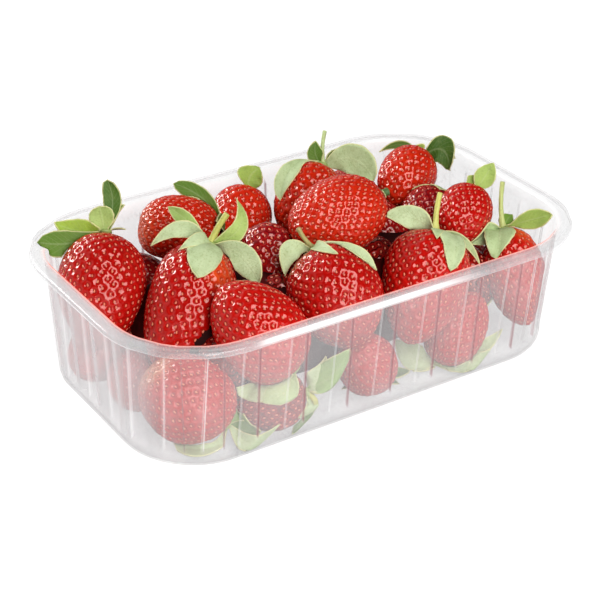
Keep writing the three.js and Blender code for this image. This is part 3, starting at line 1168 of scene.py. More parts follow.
@dataclass(frozen=True)
class Patch:
    """A paler place on a berry: its turn round, its share of the length, its reach and colour.

    It has its whole strength in the FULL share of its reach.
    """

    turn: float
    along: float
    reach: float
    colour: Colour = ORANGE
    strength: float = 0.8

    FULL = 0.3

    def over(self, colours: np.ndarray, far: np.ndarray) -> np.ndarray:
        """Colours with the patch laid over them, by how far each is from its middle."""
        share = (1.0 - smoothstep(self.reach * self.FULL, self.reach, far)) * self.strength
        return colours + (np.array(self.colour) - colours) * share[:, None]


@dataclass(frozen=True)
class Berry:
    """One strawberry.

    Attributes:
        at: Its centre.
        aim: The heading of its tip round Z, and how far it dips, in degrees.
        size: Its length and its greatest width.
        form: How it swells.
        leaves: The leaves of its calyx.
        stalk: Its stalk, if it has one.
        flush: Its colour.
        patches: Paler places on it.
        pitch: The distance between its seeds.
        stamens: Whether dry stamens show under its calyx.
    """

    at: Point
    aim: tuple[float, float]
    size: tuple[float, float]
    form: Form = Form.PLAIN
    leaves: tuple[Leaf, ...] = ()
    stalk: Optional[Stalk] = None
    flush: Flush = Flush.RED
    patches: tuple[Patch, ...] = ()
    pitch: float = 3.1
    stamens: bool = False

    # The centre's distance from the crown as a share of the length, the steps of the section, how far
    # seeds stray as a share of their pitch, how closely they are packed, and how far the calyx stands off.
    EYE = 0.45
    STEPS = 400
    STRAY = 0.09
    PACKING = 0.866
    CALYX_GAP = 0.8
    # The height of each slow swelling as a share of the reach, and how quickly it comes and goes.
    LUMPS = ((0.022, 2.2), (0.016, 3.6), (0.009, 6.0))

    def axes(self) -> np.ndarray:
        """Its own directions as rows: side, across, and up from its tip to its crown."""
        heading, dip = (math.radians(angle) for angle in self.aim)
        flat = math.cos(dip)
        tip = np.array([math.cos(heading) * flat, math.sin(heading) * flat, -math.sin(dip)])
        side = unit(np.cross(tip, UP))
        return np.array([side, np.cross(side, tip), -tip])

    def crown(self) -> np.ndarray:
        """The middle of its calyx."""
        return np.array(self.at) + self.axes()[2] * (self.EYE * self.size[0] + self.CALYX_GAP)

    def outwards(self, turn: float) -> np.ndarray:
        """A direction square to the stalk, turned round it by degrees."""
        side, across, _ = self.axes()
        angle = math.radians(turn)
        return side * math.cos(angle) + across * math.sin(angle)

    def slanted(self, turn: float, lift: float) -> np.ndarray:
        """A direction turned round the stalk and lifted above the crown's plane, by degrees."""
        rise = math.radians(lift)
        return self.outwards(turn) * math.cos(rise) + self.axes()[2] * math.sin(rise)

    def profile(self) -> tuple[np.ndarray, np.ndarray, np.ndarray]:
        """The berry's section: shares of its length, radius and height above its centre."""
        share = (1.0 - np.cos(np.linspace(0.0, math.pi, self.STEPS))) / 2.0
        radius = self.size[1] / 2.0 * self.form.swell(share)
        return share, radius, (self.EYE - share) * self.size[0]

    def along_profile(self, directions: np.ndarray, *values: np.ndarray) -> list[np.ndarray]:
        """What values kept along the section come to in its own directions.

        Args:
            directions: The directions from its centre.
            *values: Numbers for each step of the section.

        Returns:
            For each of values, a number for each direction.
        """
        _, radius, height = self.profile()
        angle = np.arccos(np.clip(directions[:, 2], -1.0, 1.0))
        return [np.interp(angle, np.arctan2(radius, height), value) for value in values]

    def lumps(self, directions: np.ndarray) -> np.ndarray:
        """Slow swellings that make each berry its own.

        Args:
            directions: The directions from its centre.

        Returns:
            For each of them a factor on its reach.
        """
        draw = seeded((self.at, self.size))
        total = np.ones(len(directions))
        for strength, pace in self.LUMPS:
            way = unit(draw.normal(size=3))
            total += strength * np.sin(directions @ way * pace + draw.uniform(0.0, 2.0 * math.pi))
        return total

    def reach(self, directions: np.ndarray) -> np.ndarray:
        """How far the skin is from the centre in its own directions."""
        _, radius, height = self.profile()
        return self.along_profile(directions, np.hypot(radius, height))[0] * self.lumps(directions)

    def surface(self, directions: np.ndarray) -> np.ndarray:
        """The points of the skin in its own directions."""
        return directions * self.reach(directions)[:, None]

    def normals(self, directions: np.ndarray) -> np.ndarray:
        """The outward normals of the skin, without its lumps.

        Args:
            directions: The directions from its centre.

        Returns:
            The normals in its own directions.
        """
        share, radius, _ = self.profile()
        slope = np.gradient(radius, share)
        steep = np.hypot(self.size[0], slope)
        out, up = self.along_profile(directions, self.size[0] / steep, slope / steep)
        return unit(directions * (1.0, 1.0, 0.0)) * out[:, None] + np.array(UP) * up[:, None]

    def seats(self) -> np.ndarray:
        """Where its seeds sit, on a spiral of equal areas.

        Returns:
            A direction from its centre for each seed.
        """
        share, radius, height = self.profile()
        band = np.hypot(np.diff(radius), np.diff(height)) * (radius[1:] + radius[:-1]) * math.pi
        area = np.concatenate([[0.0], np.cumsum(band)])
        count = int(area[-1] / (self.pitch**2 * self.PACKING))
        number = np.arange(count)
        place = np.interp((number + 0.5) / count * area[-1], area, share)
        out, up = np.interp(place, share, radius), np.interp(place, share, height)
        turn = number * GOLDEN_ANGLE
        draw = np.random.default_rng(count)
        spiral = np.stack([out * np.cos(turn), out * np.sin(turn), up], axis=1)
        return unit(spiral + draw.normal(0.0, self.pitch * self.STRAY, (count, 3)))

    def world(self, local: np.ndarray) -> np.ndarray:
        """Points from the berry's own directions to the punnet's."""
        return np.array(self.at) + local @ self.axes()

    def clear(self, points: np.ndarray, gap: float) -> np.ndarray:
        """Moves points that lie in the berry out to a little above its skin.

        Args:
            points: The points, in the punnet's directions.
            gap: How far above the skin they then lie.

        Returns:
            The points, none of them in the berry.
        """
        local = (points - np.array(self.at)) @ self.axes().T
        directions = unit(local)
        far = np.maximum(np.linalg.norm(local, axis=1), self.reach(directions) + gap)
        return self.world(directions * far[:, None])

    def coloured(self, surface: np.ndarray) -> np.ndarray:
        """The colour of its skin, with its paler patches.

        Args:
            surface: Points of the skin in its own directions.

        Returns:
            A colour for each point.
        """
        colours = np.tile(self.flush.value, (len(surface), 1))
        length, width = self.size
        for patch in self.patches:
            turn = math.radians(patch.turn)
            out = width / 2.0 * self.form.swell(min(patch.along, 0.999))
            spot = (out * math.cos(turn), out * math.sin(turn), (self.EYE - patch.along) * length)
            colours = patch.over(colours, np.linalg.norm(surface - np.array(spot), axis=1))
        return colours


TOP_LEFT = (
    Berry((-71, 20, 39), (-125, 46), (41, 31), Form.PLAIN, (
        Leaf(12, 5, 18, 9, -0.15, 0.35, 0.8, -74, sweep=-0.15),
        Leaf(10, -14, 24, 9.5, -0.2, 0.75, roll=-78, belly=0.66, point=0.5),
        Leaf(61, 59, 9, 9, 0.0, 0.15, 0.5, -30, belly=0.6, point=0.4),
        Leaf(90, 77, 18, 6.5, 0.1, 0.9, roll=0, sweep=0.22, belly=0.64, point=0.4),
        Leaf(178, 58, 11.5, 4, 0.3, 0.7, roll=65), Leaf(180, 6, 7, 1.5, shade=1.0)),
        flush=Flush.DEEP),
    Berry((-33, 29, 47), (163, -8), (30, 23.5), Form.BARREL, (
        Leaf(45, -46, 24, 7, 0.16, 0.78, roll=-66, sweep=0.2, belly=0.62, point=0.5),
        Leaf(140, -25, 13, 8, shade=0.9),
        Leaf(-130, -25, 13, 8, shade=0.9), Leaf(-50, -25, 13, 7, shade=0.6)),
        flush=Flush.BRIGHT, patches=(Patch(0, 1.0, 14, (0.62, 0.12, 0.03), 0.7),), pitch=2.65),
    Berry((-50.5, -4, 37.5), (-150, 44), (47, 29), Form.LONG, (
        Leaf(33, -25, 21, 6, 0.45, 0.05, roll=-75, sweep=0.35),
        Leaf(28, 20, 19.5, 5.5, 0.0, 0.3, 0.3, -72, sweep=0.3, belly=0.65),
        Leaf(76, -31, 16.5, 5, 0.35, 0.05, roll=60, sweep=0.3),
        Leaf(116, -48, 22, 12, 0.3, 0.05, sweep=-0.05, belly=0.5, point=0.6),
        Leaf(170, 79, 18, 6, -0.8, 0.1, 0.6, 50, belly=0.35),
        Leaf(-171, -22, 23, 9.5, 0.25, 0.05, roll=76, sweep=-0.15, belly=0.6, point=0.6)),
        Stalk(133, 61, 12, 1.15), flush=Flush.DEEP, patches=(Patch(150, 0.2, 9),)),
    Berry((-39, -31.8, 36.2), (129, -46), (38, 30), Form.CONE, (
        Leaf(-128, -27, 23, 8, 0.3, 0.1, roll=75), Leaf(-136, 0, 15, 10, shade=0.1, lime=0.2, roll=72))),
    Berry((-6, 35.5, 39.5), (-134, 35), (30, 24), Form.PLAIN, (
        Leaf(141, 50, 9, 10.5, 0.1, 0.4, 0.4, 30, sweep=-0.3, point=0.6),
        Leaf(167, 40, 7, 2, shade=0.5)), flush=Flush.BRIGHT),
    Berry((-13, 2, 33.5), (124, -80), (38, 27), flush=Flush.MAROON, pitch=3.0),
    Berry((-7, -29, 40), (-88, 41), (37, 33.5), Form.PLAIN, (
        Leaf(-22, -20, 14, 7.5, 0.6, 0.05, roll=-75, sweep=0.5, belly=0.5),
        Leaf(80, -28, 19, 5.5, 0.18, 0.05, roll=-52, sweep=-0.24),
        Leaf(121, -46, 25.5, 5.5, 0.4, 0.05, roll=-70, sweep=-0.4, belly=0.78, point=1.2)),
        Stalk(41, 51, 9.5, 0.85, (0.40, 0.36, 0.14)), flush=Flush.DEEP, stamens=True),
)

TOP_RIGHT = (
    Berry((11, -6, 55.5), (176, 14), (36, 28), Form.EGG, (Leaf(150, -30, 4, 3, shade=0.9),),
        Stalk(0, 90, 2.5, 1.5, (0.06, 0.12, 0.03)), flush=Flush.BRIGHT,
        patches=(Patch(-60, 0.75, 12, (0.72, 0.07, 0.015), 0.7),), pitch=2.7),
    Berry((17.5, 25, 47), (-152, 41), (31, 25), Form.PLAIN, (
        Leaf(65, -62, 25, 9.5, 0.43, 0.1, roll=59, belly=0.66, point=0.6),
        Leaf(43, 49, 9, 6.5, -0.35, 0.8, roll=-60),
        Leaf(-168, 0, 20.5, 12, 0.5, 0.1, roll=68, sweep=-0.1, belly=0.55, point=0.5),
        Leaf(-158, 61, 10, 3, shade=0.8, roll=60)),
        Stalk(61, 66, 12.5, 0.8, (0.46, 0.56, 0.24)), flush=Flush.BRIGHT),
    Berry((64, 26, 44.3), (-151, 19), (27, 22.5), Form.PLAIN, (
        Leaf(-164, -4, 13, 11.5, 0.59, 0.95, roll=50, sweep=-0.6, point=0.5),
        Leaf(49, 4, 4.5, 5, 0.3, 0.3, 0.6, -45, sweep=0.5),
        Leaf(17, -28, 16.5, 3.5, 0.27, 0.85, roll=-50, sweep=0.3),
        Leaf(-161, 32, 17, 6, 0.2, 0.15, roll=50)),
        flush=Flush.BRIGHT, pitch=2.9),
    Berry((58.5, 5.5, 37), (-142, 28), (26, 21), flush=Flush.MAROON, pitch=2.8),
    Berry((61.5, -12.5, 46), (-149, 20), (25, 20.5), Form.PLAIN, (
        Leaf(123, 55, 12, 8, -0.1, 0.2, 0.6, 5), Leaf(45, 25, 6, 6, 0.2, 0.3, 0.6, -50)),
        pitch=2.8),
    Berry((27, -34.4, 36.5), (-143, 49), (41, 31), Form.BROAD, (
        Leaf(26, 1, 19.5, 8.5, 0.2, 0.05, roll=-76, sweep=0.1),
        Leaf(133, -45, 22.5, 11, 0.3, 0.05, roll=-35, sweep=0.05, point=0.55),
        Leaf(-165, -25, 19.5, 3, 0.3, 0.15, roll=70, sweep=-0.1), Leaf(107, -28, 14, 4.5, shade=0.1)),
        Stalk(73, 78, 13.5, 1.0, (0.58, 0.56, 0.14))),
    Berry((70.2, -33, 27.5), (-99, 53), (36, 23), Form.PLUMP, (
        Leaf(-11, -11, 15, 8.5, 0.07, 0.15, roll=-75, sweep=0.3),
        Leaf(36, -44, 16, 12, 0.3, 0.15, roll=44, sweep=0.2, point=0.55),
        Leaf(134, -1, 19.5, 7.5, 0.03, 0.35, 0.4, 78, belly=0.62),
        Leaf(-174, 37, 7, 6, shade=0.6, roll=-60), Leaf(141, -28, 6.5, 3.5, 0.2, 0.05, 0.5, -70)),
        Stalk(140, 76, 17, 0.9, (0.48, 0.54, 0.18)), patches=(Patch(150, 0.08, 11),), stamens=True),
)

LOW_FRONT = (
    Berry((-64.5, -29, 16), (146, -40), (33, 31), Form.EGG, (
        Leaf(-119, -38, 19, 8.5, 0.62, 0.08, roll=80, sweep=-0.35, belly=0.62, point=0.7),
        Leaf(73, 20, 12, 9, 0.2, 0.45, roll=-70), Leaf(112, 46, 12, 7, 0.2, 0.8, roll=-43),
        Leaf(107, 41, 19.5, 7, 0.28, 0.1, roll=-48, sweep=0.6)),
        patches=(Patch(90, 1.0, 11, PALE_TIP, 0.7),)),
    Berry((2, -36.5, 11.7), (-149, -54), (26.5, 22), Form.EGG, (
        Leaf(136, 21, 14, 8, shade=0.85, roll=-32), Leaf(-59, -7, 15, 5, shade=0.8),
        Leaf(-164, 28, 11, 6, shade=0.85), Leaf(-106, 14, 9, 6, shade=0.8)), pitch=2.8),
    Berry((40.5, -37.5, 14), (-4, -57), (29, 21.5), Form.PLAIN, (
        Leaf(127, -2, 17.5, 10, 0.2, 0.05, roll=78, sweep=-0.2), Leaf(95, 42, 10, 5, shade=0.1, roll=58),
        Leaf(-24, -35, 13, 8, shade=0.1, roll=83), Leaf(-45, -44, 21, 8, shade=0.1, roll=-86),
        Leaf(-66, -56, 27, 6, shade=0.1, roll=-71)),
        patches=(Patch(-120, 0.9, 9, ORANGE, 0.5),), pitch=2.9),
    Berry((-38, -38.5, 12), (155, 10), (25, 21), Form.PLAIN, (
        Leaf(71, 36, 14, 9, shade=0.05, roll=-81, belly=0.35, point=1.1),
        Leaf(-146, -27, 10, 8, shade=0.1, roll=-81), Leaf(-119, -34, 15, 6, shade=0.8, roll=80),
        Leaf(88, 50, 21, 11, shade=0.35, roll=-60)),
        Stalk(-150, 20, 9, 1.0), flush=Flush.MAROON, pitch=2.8),
)

COVERED = (
    Berry((21, -11, 29), (40, -60), (29, 25), flush=Flush.SHADE),
    Berry((-49, -24, 22), (-60, -60), (26, 21), flush=Flush.SHADE),
    Berry((55, -22, 24), (100, -60), (28, 23), flush=Flush.SHADE),
    Berry((37, 6, 33), (70, -60), (28, 25), flush=Flush.MAROON),
    Berry((-33, 14, 26.5), (10, -60), (28, 24), flush=Flush.SHADE),
    Berry((42, 33.5, 38), (60, 20), (27, 23)),
    Berry((3, 16, 26), (-160, -10), (25, 22)),
    Berry((-70, 21.5, 13), (-160, 10), (29, 23), flush=Flush.DEEP),
    Berry((-70.5, -2.5, 11.5), (-110, 0), (24, 21), flush=Flush.DEEP),
    Berry((-39.5, -4, 15), (30, 0), (32, 27)),
    Berry((-46, 34, 19), (160, -70), (34, 27), flush=Flush.MAROON),
    Berry((-55, 13, 22), (30, -60), (26, 22), flush=Flush.SHADE),
    Berry((-22, -12, 29), (0, -60), (26, 22), flush=Flush.SHADE),
    Berry((-12, -8.5, 14), (100, 0), (28, 25)),
    Berry((-14, 29, 14.5), (80, 0), (30, 26)),
    Berry((18, 32, 17.5), (-160, -55), (32, 26)),
    Berry((20, -8, 14.5), (20, 0), (31, 26)),
    Berry((50, 28.5, 17.5), (120, -55), (32, 26)),
    Berry((50.5, -5, 14.5), (-80, 0), (30, 26)),
    Berry((73, 14, 14), (180, 0), (28, 24)),
    Berry((65, -8, 18), (-40, -60), (26, 22), flush=Flush.DEEP),
)


@dataclass
class Heap:
    """The heap of strawberries in its tray.

    Attributes:
        tray: The tray.
        gap: How far everything stays from the sheet.
        rib_room: How much further it stays from the walls, for the flutes.
        pit_depth: How deep the pit under a seed is.
        bare: How far from the stalk the skin has no pits, in radians seen from the berry's middle.
        groups: The berries of each piece, and how finely the skin between their seeds is split.
    """

    tray: Tray
    gap: float = 0.35
    rib_room: float = 1.0
    pit_depth: float = 0.6
    bare: float = 0.16
    groups: Mapping[str, tuple[tuple[Berry, ...], int]] = field(default_factory=lambda: {
        "berries_top_left": (TOP_LEFT, 5),
        "berries_top_right": (TOP_RIGHT, 5),
        "berries_low_front": (LOW_FRONT, 5),
        "berries_covered": (COVERED, 3),
    })

    def berries(self) -> list[Berry]:
        """All the berries."""
        return [berry for layer, _ in self.groups.values() for berry in layer]

    def inside(self, points: np.ndarray) -> np.ndarray:
        """Keeps points clear of the tray and its flutes."""
        return self.tray.keep_in(points, self.gap + self.rib_room)

    def has_seeds(self, directions: np.ndarray) -> np.ndarray:
        """Which of a berry's directions lie clear of the bare skin round its stalk."""
        return directions[:, 2] < math.cos(self.bare)

    def build(self) -> None:
        """Models the whole heap."""
        Skins(self).build()
        Seeds(self).build("seeds_top", TOP_LEFT + TOP_RIGHT)
        Seeds(self).build("seeds_low", LOW_FRONT + COVERED)
        Calyces(self).build()
        Stems(self).build()
        Core().build()


@dataclass
class Skins:
    """The pitted skins of the berries.

    Attributes:
        heap: The heap.
        pit_share: The radius of a pit as a share of the distance between seeds.
        floor_share: How much of that radius the flat floor of a pit takes.
        finish: Their finish.
    """

    heap: Heap
    pit_share: float = 0.6
    floor_share: float = 0.12
    finish: SkinFinish = SkinFinish()

    def skin(self, berry: Berry, cuts: int) -> Workpiece:
        """Models one berry, with a pit under every seed.

        Args:
            berry: The berry.
            cuts: How finely the skin between the seeds is split.

        Returns:
            The skin.
        """
        corners = berry.surface(berry.seats())
        skin = Workpiece.hull("skin", corners, cuts)
        directions = unit(skin.read())
        surface = berry.surface(directions)
        tree = KDTree(len(corners))
        for number, corner in enumerate(corners):
            tree.insert(corner, number)
        tree.balance()
        nearest = np.array([tree.find(point)[2] for point in surface])
        pit = 1.0 - smoothstep(self.floor_share, 1.0, nearest / (berry.pitch * self.pit_share))
        depth = pit * self.heap.has_seeds(directions) * self.heap.pit_depth
        normals = berry.normals(directions) @ berry.axes()
        skin.write(self.heap.inside(berry.world(surface)) - normals * depth[:, None])
        return skin.note("pit", pit).tint("flush", berry.coloured(surface)).outward()

    def build(self) -> None:
        """Models the berries, one piece for each group."""
        material = self.finish.material()
        for name, (layer, cuts) in self.heap.groups.items():
            first, *others = [self.skin(berry, cuts) for berry in layer]
            first.join(name, others).finish(material, "strawberries", "strawberries")


@dataclass
class Seeds:
    """The seeds, one in every pit.

    A seed has a length, width and depth. The point is how much narrower its upper end is, the lean is in
    radians, the spread is that of the seeds' sizes, and the lift is that of a seed's middle above the
    floor of its pit.
    """

    heap: Heap
    size: Point = (1.4, 0.72, 0.5)
    point: float = 0.32
    lean: float = 0.22
    spread: Span = (0.85, 1.12)
    lift: float = 0.16
    finish: DriftFinish = STRAW

    def build(self, name: str, berries: Sequence[Berry]) -> None:
        """Sets a seed in every pit of some berries.

        Args:
            name: The piece's name.
            berries: The berries.
        """
        model = Workpiece.ball("seed", 5, 3)
        shaped = model.read(scale=1.0)
        shaped[:, 1:] *= 1.0 - self.point * shaped[:, :1]
        shaped *= np.array(self.size) / 2.0
        draw = np.random.default_rng(7)
        places = []
        for berry in berries:
            seats = berry.seats()
            seats = seats[self.heap.has_seeds(seats)]
            normals = berry.normals(seats)
            around = unit(np.cross(normals, UP))
            lean = draw.normal(0.0, self.lean, (len(seats), 1))
            along = unit(np.cross(normals, around) * -np.cos(lean) + around * np.sin(lean))
            scale = draw.uniform(*self.spread, (len(seats), 1, 1))
            turned = np.stack([along, np.cross(normals, along), normals], axis=1) @ berry.axes()
            middles = self.heap.inside(berry.world(berry.surface(seats)))
            middles -= turned[:, 2] * (self.heap.pit_depth - self.lift)
            places += list(middles[:, None] + (shaped[None] @ turned) * scale)
        Workpiece.copies(name, model, places).outward().finish(self.finish.material(), "strawberries")


@dataclass
class Calyces:
    """The leaves of the calyces.

    A leaf starts at its foot, which lies that far from the stalk's middle. The free share of its length
    may pass through its own berry's crown, and the rest keeps the gap above every berry that lies within
    near times its length of the leaf's tip. It has the foot's roll, a share of its own, at its foot and
    all of it at the share called rolled. The teeth have a depth and a stretch in which they set in, the
    wave and ripple a height and a pace, and the fold a height and a sharpness.
    """

    heap: Heap
    thickness: float = 0.4
    across: int = 10
    along: int = 18
    foot: float = 1.0
    free: float = 0.06
    gap: float = 0.3
    near: float = 2.5
    foot_roll: float = 0.4
    rolled: float = 0.35
    teeth: int = 5
    tooth: tuple[float, Span] = (0.05, (0.25, 0.5))
    wave: tuple[float, float] = (0.06, 5.0)
    ripple: tuple[float, float] = (0.05, 11.0)
    fold: tuple[float, float] = (0.14, 1.3)
    finish: LeafFinish = LeafFinish()

    def line(self, berry: Berry, leaf: Leaf, share: np.ndarray) -> tuple[np.ndarray, np.ndarray, np.ndarray]:
        """The middle line of a leaf, bent from its foot to its tip.

        Args:
            berry: The berry that it grows on.
            leaf: The leaf.
            share: The shares of its length, in a column.

        Returns:
            The points, the unit tangents and the direction to one side.
        """
        crown, out = berry.crown(), berry.outwards(leaf.turn)
        side = unit(np.cross(out, -berry.axes()[2]))
        ahead = berry.slanted(leaf.turn, leaf.lift)
        above = berry.slanted(leaf.turn, leaf.lift + 90.0)
        root = crown + out * self.foot
        bend = crown + leaf.length * (ahead * 0.5 + above * leaf.arch + side * leaf.sweep)
        tip = crown + leaf.length * ahead
        points = root * (1.0 - share) ** 2 + bend * (2.0 * share * (1.0 - share)) + tip * share**2
        return points, unit((bend - root) * (1.0 - share) + (tip - bend) * share), side

    def blade(self, berry: Berry, leaf: Leaf, along: np.ndarray, across: np.ndarray) -> np.ndarray:
        """The middle surface of a leaf.

        Args:
            berry: The berry that it grows on.
            leaf: The leaf.
            along: For each point, its share of the length.
            across: For each point, its place from edge to edge, -1 to 1.

        Returns:
            The points, clear of the berries and the tray.
        """
        share = along[:, None]
        points, tangent, level_side = self.line(berry, leaf, share)
        tip = berry.crown() + leaf.length * berry.slanted(leaf.turn, leaf.lift)
        set_in = smoothstep(0.0, self.rolled, share)
        roll = np.radians(leaf.roll) * (self.foot_roll + (1.0 - self.foot_roll) * set_in)
        level_under = np.cross(level_side, tangent)
        side = level_side * np.cos(roll) + level_under * np.sin(roll)
        under = level_under * np.cos(roll) - level_side * np.sin(roll)
        half = leaf.half_width(along)
        edge = np.abs(across)
        depth, stretch = self.tooth
        saw = np.abs((along * self.teeth * 2.0 + 0.3) % 2.0 - 1.0) - 0.5
        jagged = 1.0 + depth * saw * edge**4 * smoothstep(*stretch, along)
        height, pace = self.wave
        hang = height * leaf.width * np.sin(pace * along + leaf.turn) * across
        height, pace = self.ripple
        hang += height * leaf.width * np.sin(pace * along + 2.0 * leaf.turn) * across**2 * along
        height, sharpness = self.fold
        hang += height * half * edge**sharpness
        points = points + side * (across * half * jagged)[:, None] + under * hang[:, None]
        for other in self.heap.berries():
            reach = self.near * other.size[0]
            if other is not berry and np.linalg.norm(np.array(other.at) - tip) < reach:
                points = other.clear(points, self.gap)
        points = np.where(share > self.free, berry.clear(points, self.gap), points)
        return self.heap.inside(points)

    def small(self, berry: Berry) -> list[Leaf]:
        """The calyx of a berry whose crown is covered.

        Args:
            berry: The berry.

        Returns:
            Five short leaves, pressed to its shoulders.
        """
        draw = seeded(berry.at)
        count = 5
        spacing = 360.0 / count
        first = draw.uniform(0.0, spacing)
        return [
            Leaf(
                turn=first + spacing * number + draw.uniform(-12.0, 12.0),
                lift=draw.uniform(-48.0, -25.0),
                length=draw.uniform(8.0, 11.0),
                width=draw.uniform(5.5, 7.0),
                arch=0.3,
                shade=draw.uniform(0.1, 0.7),
            )
            for number in range(count)
        ]

    def build(self) -> None:
        """Models every leaf of every calyx."""
        model = Workpiece.sheet("leaf", self.across, self.along)
        along = model.row / self.along
        across = model.column / self.across * 2.0 - 1.0
        places, tones, margins = [], [], []
        for berry in self.heap.berries():
            for leaf in berry.leaves or self.small(berry):
                places.append(self.blade(berry, leaf, along, across))
                tones.append(np.tile(leaf.tone(), (len(along), 1)))
                margins.append((1.0 - np.abs(across)) * leaf.half_width(along))
        leaves = Workpiece.copies("calyx_leaves", model, places)
        leaves.tint("tone", np.concatenate(tones)).note("margin", np.concatenate(margins))
        leaves.thicken(self.thickness).finish(self.finish.material(), "strawberries")


@dataclass
class Stems:
    """The cut stalks, the buttons that they grow from and the dry stamens.

    Each rod has heights above the calyx or shares of its length, and its radius at each of them. A stalk
    first has two steps at its foot, which lies below the calyx. Stamens stand in a ring, spread outwards
    by their run and drop at their ends.
    """

    heap: Heap
    button_height: Sequence[float] = (-1.2, -1.0, -0.3, 0.25, 0.55, 0.6)
    button_radius: Sequence[float] = (0.0, 1.9, 2.3, 1.9, 0.9, 0.0)
    button_tone: Colour = (0.30, 0.38, 0.11)
    foot: float = 0.6
    stalk_share: Sequence[float] = (0.0, 0.08, 0.2, 0.4, 0.6, 0.8, 0.97, 1.0, 1.0, 0.985)
    stalk_radius: Sequence[float] = (0.0, 1.7, 1.6, 1.35, 1.1, 1.0, 0.95, 0.95, 1.0, 0.95, 0.6, 0.0)
    bow: float = 0.05
    cut: Colour = (0.30, 0.24, 0.08)
    stamen_count: int = 16
    stamen_share: Sequence[float] = (0.0, 0.05, 0.5, 0.9, 1.0)
    stamen_radius: Sequence[float] = (0.0, 0.14, 0.12, 0.2, 0.0)
    stamen_tone: Colour = (0.72, 0.6, 0.32)
    stamen_gap: float = 0.25
    stamen_ring: float = 2.0
    stamen_run: float = 2.6
    stamen_drop: float = 1.2
    stamen_stray: float = 6.0
    finish: StemFinish = StemFinish()

    # Directions that no rod and no stalk follows.
    ACROSS_RODS = (0.3, 0.5, 0.8)
    ACROSS_STALKS = (0.2, 0.9, 0.1)

    def rod(self, name: str, line: np.ndarray, radii: Sequence[float], around: int) -> Workpiece:
        """Models a round rod with closed, rounded ends.

        Args:
            name: The piece's name.
            line: The points of its axis.
            radii: Its radius at each of them, which is nothing at both ends.
            around: How many sides it has.

        Returns:
            The rod.
        """
        rod = Workpiece.ball(name, around, len(line) - 1)
        way = unit(np.gradient(line, axis=0))
        side = unit(np.cross(way, self.ACROSS_RODS))
        other = np.cross(way, side)
        angle = rod.column / around * 2.0 * math.pi
        spoke = side[rod.row] * np.cos(angle)[:, None] + other[rod.row] * np.sin(angle)[:, None]
        radius = np.array(radii)[rod.row][:, None]
        return rod.write(self.heap.inside(line[rod.row] + spoke * radius)).outward()

    def button(self, berry: Berry) -> Workpiece:
        """The low green button in the middle of a calyx."""
        line = berry.crown() + berry.axes()[2] * np.array(self.button_height)[:, None]
        return self.rod("button", line, self.button_radius, 12).tint("tone", self.button_tone)

    def stalk(self, berry: Berry, stalk: Stalk) -> Workpiece:
        """Models a slightly bent stalk, stout at its foot and cut square at its head.

        Args:
            berry: The berry that it grows on.
            stalk: The stalk.

        Returns:
            The stalk.
        """
        way = berry.slanted(stalk.turn, stalk.lift)
        foot = -self.foot / stalk.length
        steps = np.array((foot, foot, *self.stalk_share))
        curve = self.bow * stalk.length * np.sin(np.clip(steps, 0.0, 1.0) * math.pi)
        aside = unit(np.cross(way, self.ACROSS_STALKS))
        line = berry.crown() + way * (steps * stalk.length)[:, None] + aside * curve[:, None]
        made = self.rod("stalk", line, np.array(self.stalk_radius) * stalk.thick, 10)
        cut = made.row >= len(steps) - 2
        return made.tint("tone", np.where(cut[:, None], np.array(self.cut), np.array(stalk.tone)))

    def stamens(self, berry: Berry) -> list[Workpiece]:
        """Models the thin cream stamens that stand out under a calyx.

        Args:
            berry: The berry.

        Returns:
            The stamens.
        """
        draw = np.random.default_rng(11)
        crown, up = berry.crown(), berry.axes()[2]
        share = np.array(self.stamen_share)[:, None]
        made = []
        for number in range(self.stamen_count):
            stray = draw.uniform(-self.stamen_stray, self.stamen_stray)
            out = berry.outwards(number * 360.0 / self.stamen_count + stray)
            line = crown - up * self.foot + out * (self.stamen_ring + self.stamen_run * share)
            line -= up * (self.stamen_drop * share**2)
            stamen = self.rod("stamen", berry.clear(line, self.stamen_gap), self.stamen_radius, 5)
            made.append(stamen.tint("tone", self.stamen_tone))
        return made

    def build(self) -> None:
        """Models them for every berry."""
        made = []
        for berry in self.heap.berries():
            made.append(self.button(berry))
            if berry.stalk:
                made.append(self.stalk(berry, berry.stalk))
            if berry.stamens:
                made += self.stamens(berry)
        first, *others = made
        first.join("stems", others).finish(self.finish.material(), "strawberries")


@dataclass
class Core:
    """A near-black body, painted shade, that closes the gaps in the heap: its middle, its half sizes and how
    boxy it is.
    """

    middle: Point = (-3.0, 0.0, 23.0)
    half: Point = (64.0, 29.0, 19.0)
    boxiness: Point = (0.7, 0.7, 0.6)
    finish: DriftFinish = SHADE_FILL

    def build(self) -> None:
        """Swells a ball into a rounded box."""
        core = Workpiece.ball("heap_core", 48, 24)
        points = core.read(scale=1.0)
        boxy = np.sign(points) * np.abs(points) ** np.array(self.boxiness)
        core.write(np.array(self.middle) + boxy * np.array(self.half))
        core.outward().finish(self.finish.material(), "strawberries")


# ---------------------------------------------------------------- the studio


@dataclass(frozen=True)
class Softbox:
    """A square soft light: the way to it, its distance and width in metres, and its brightness."""

    name: str
    way: Point
    distance: float
    width: float
    watts: float


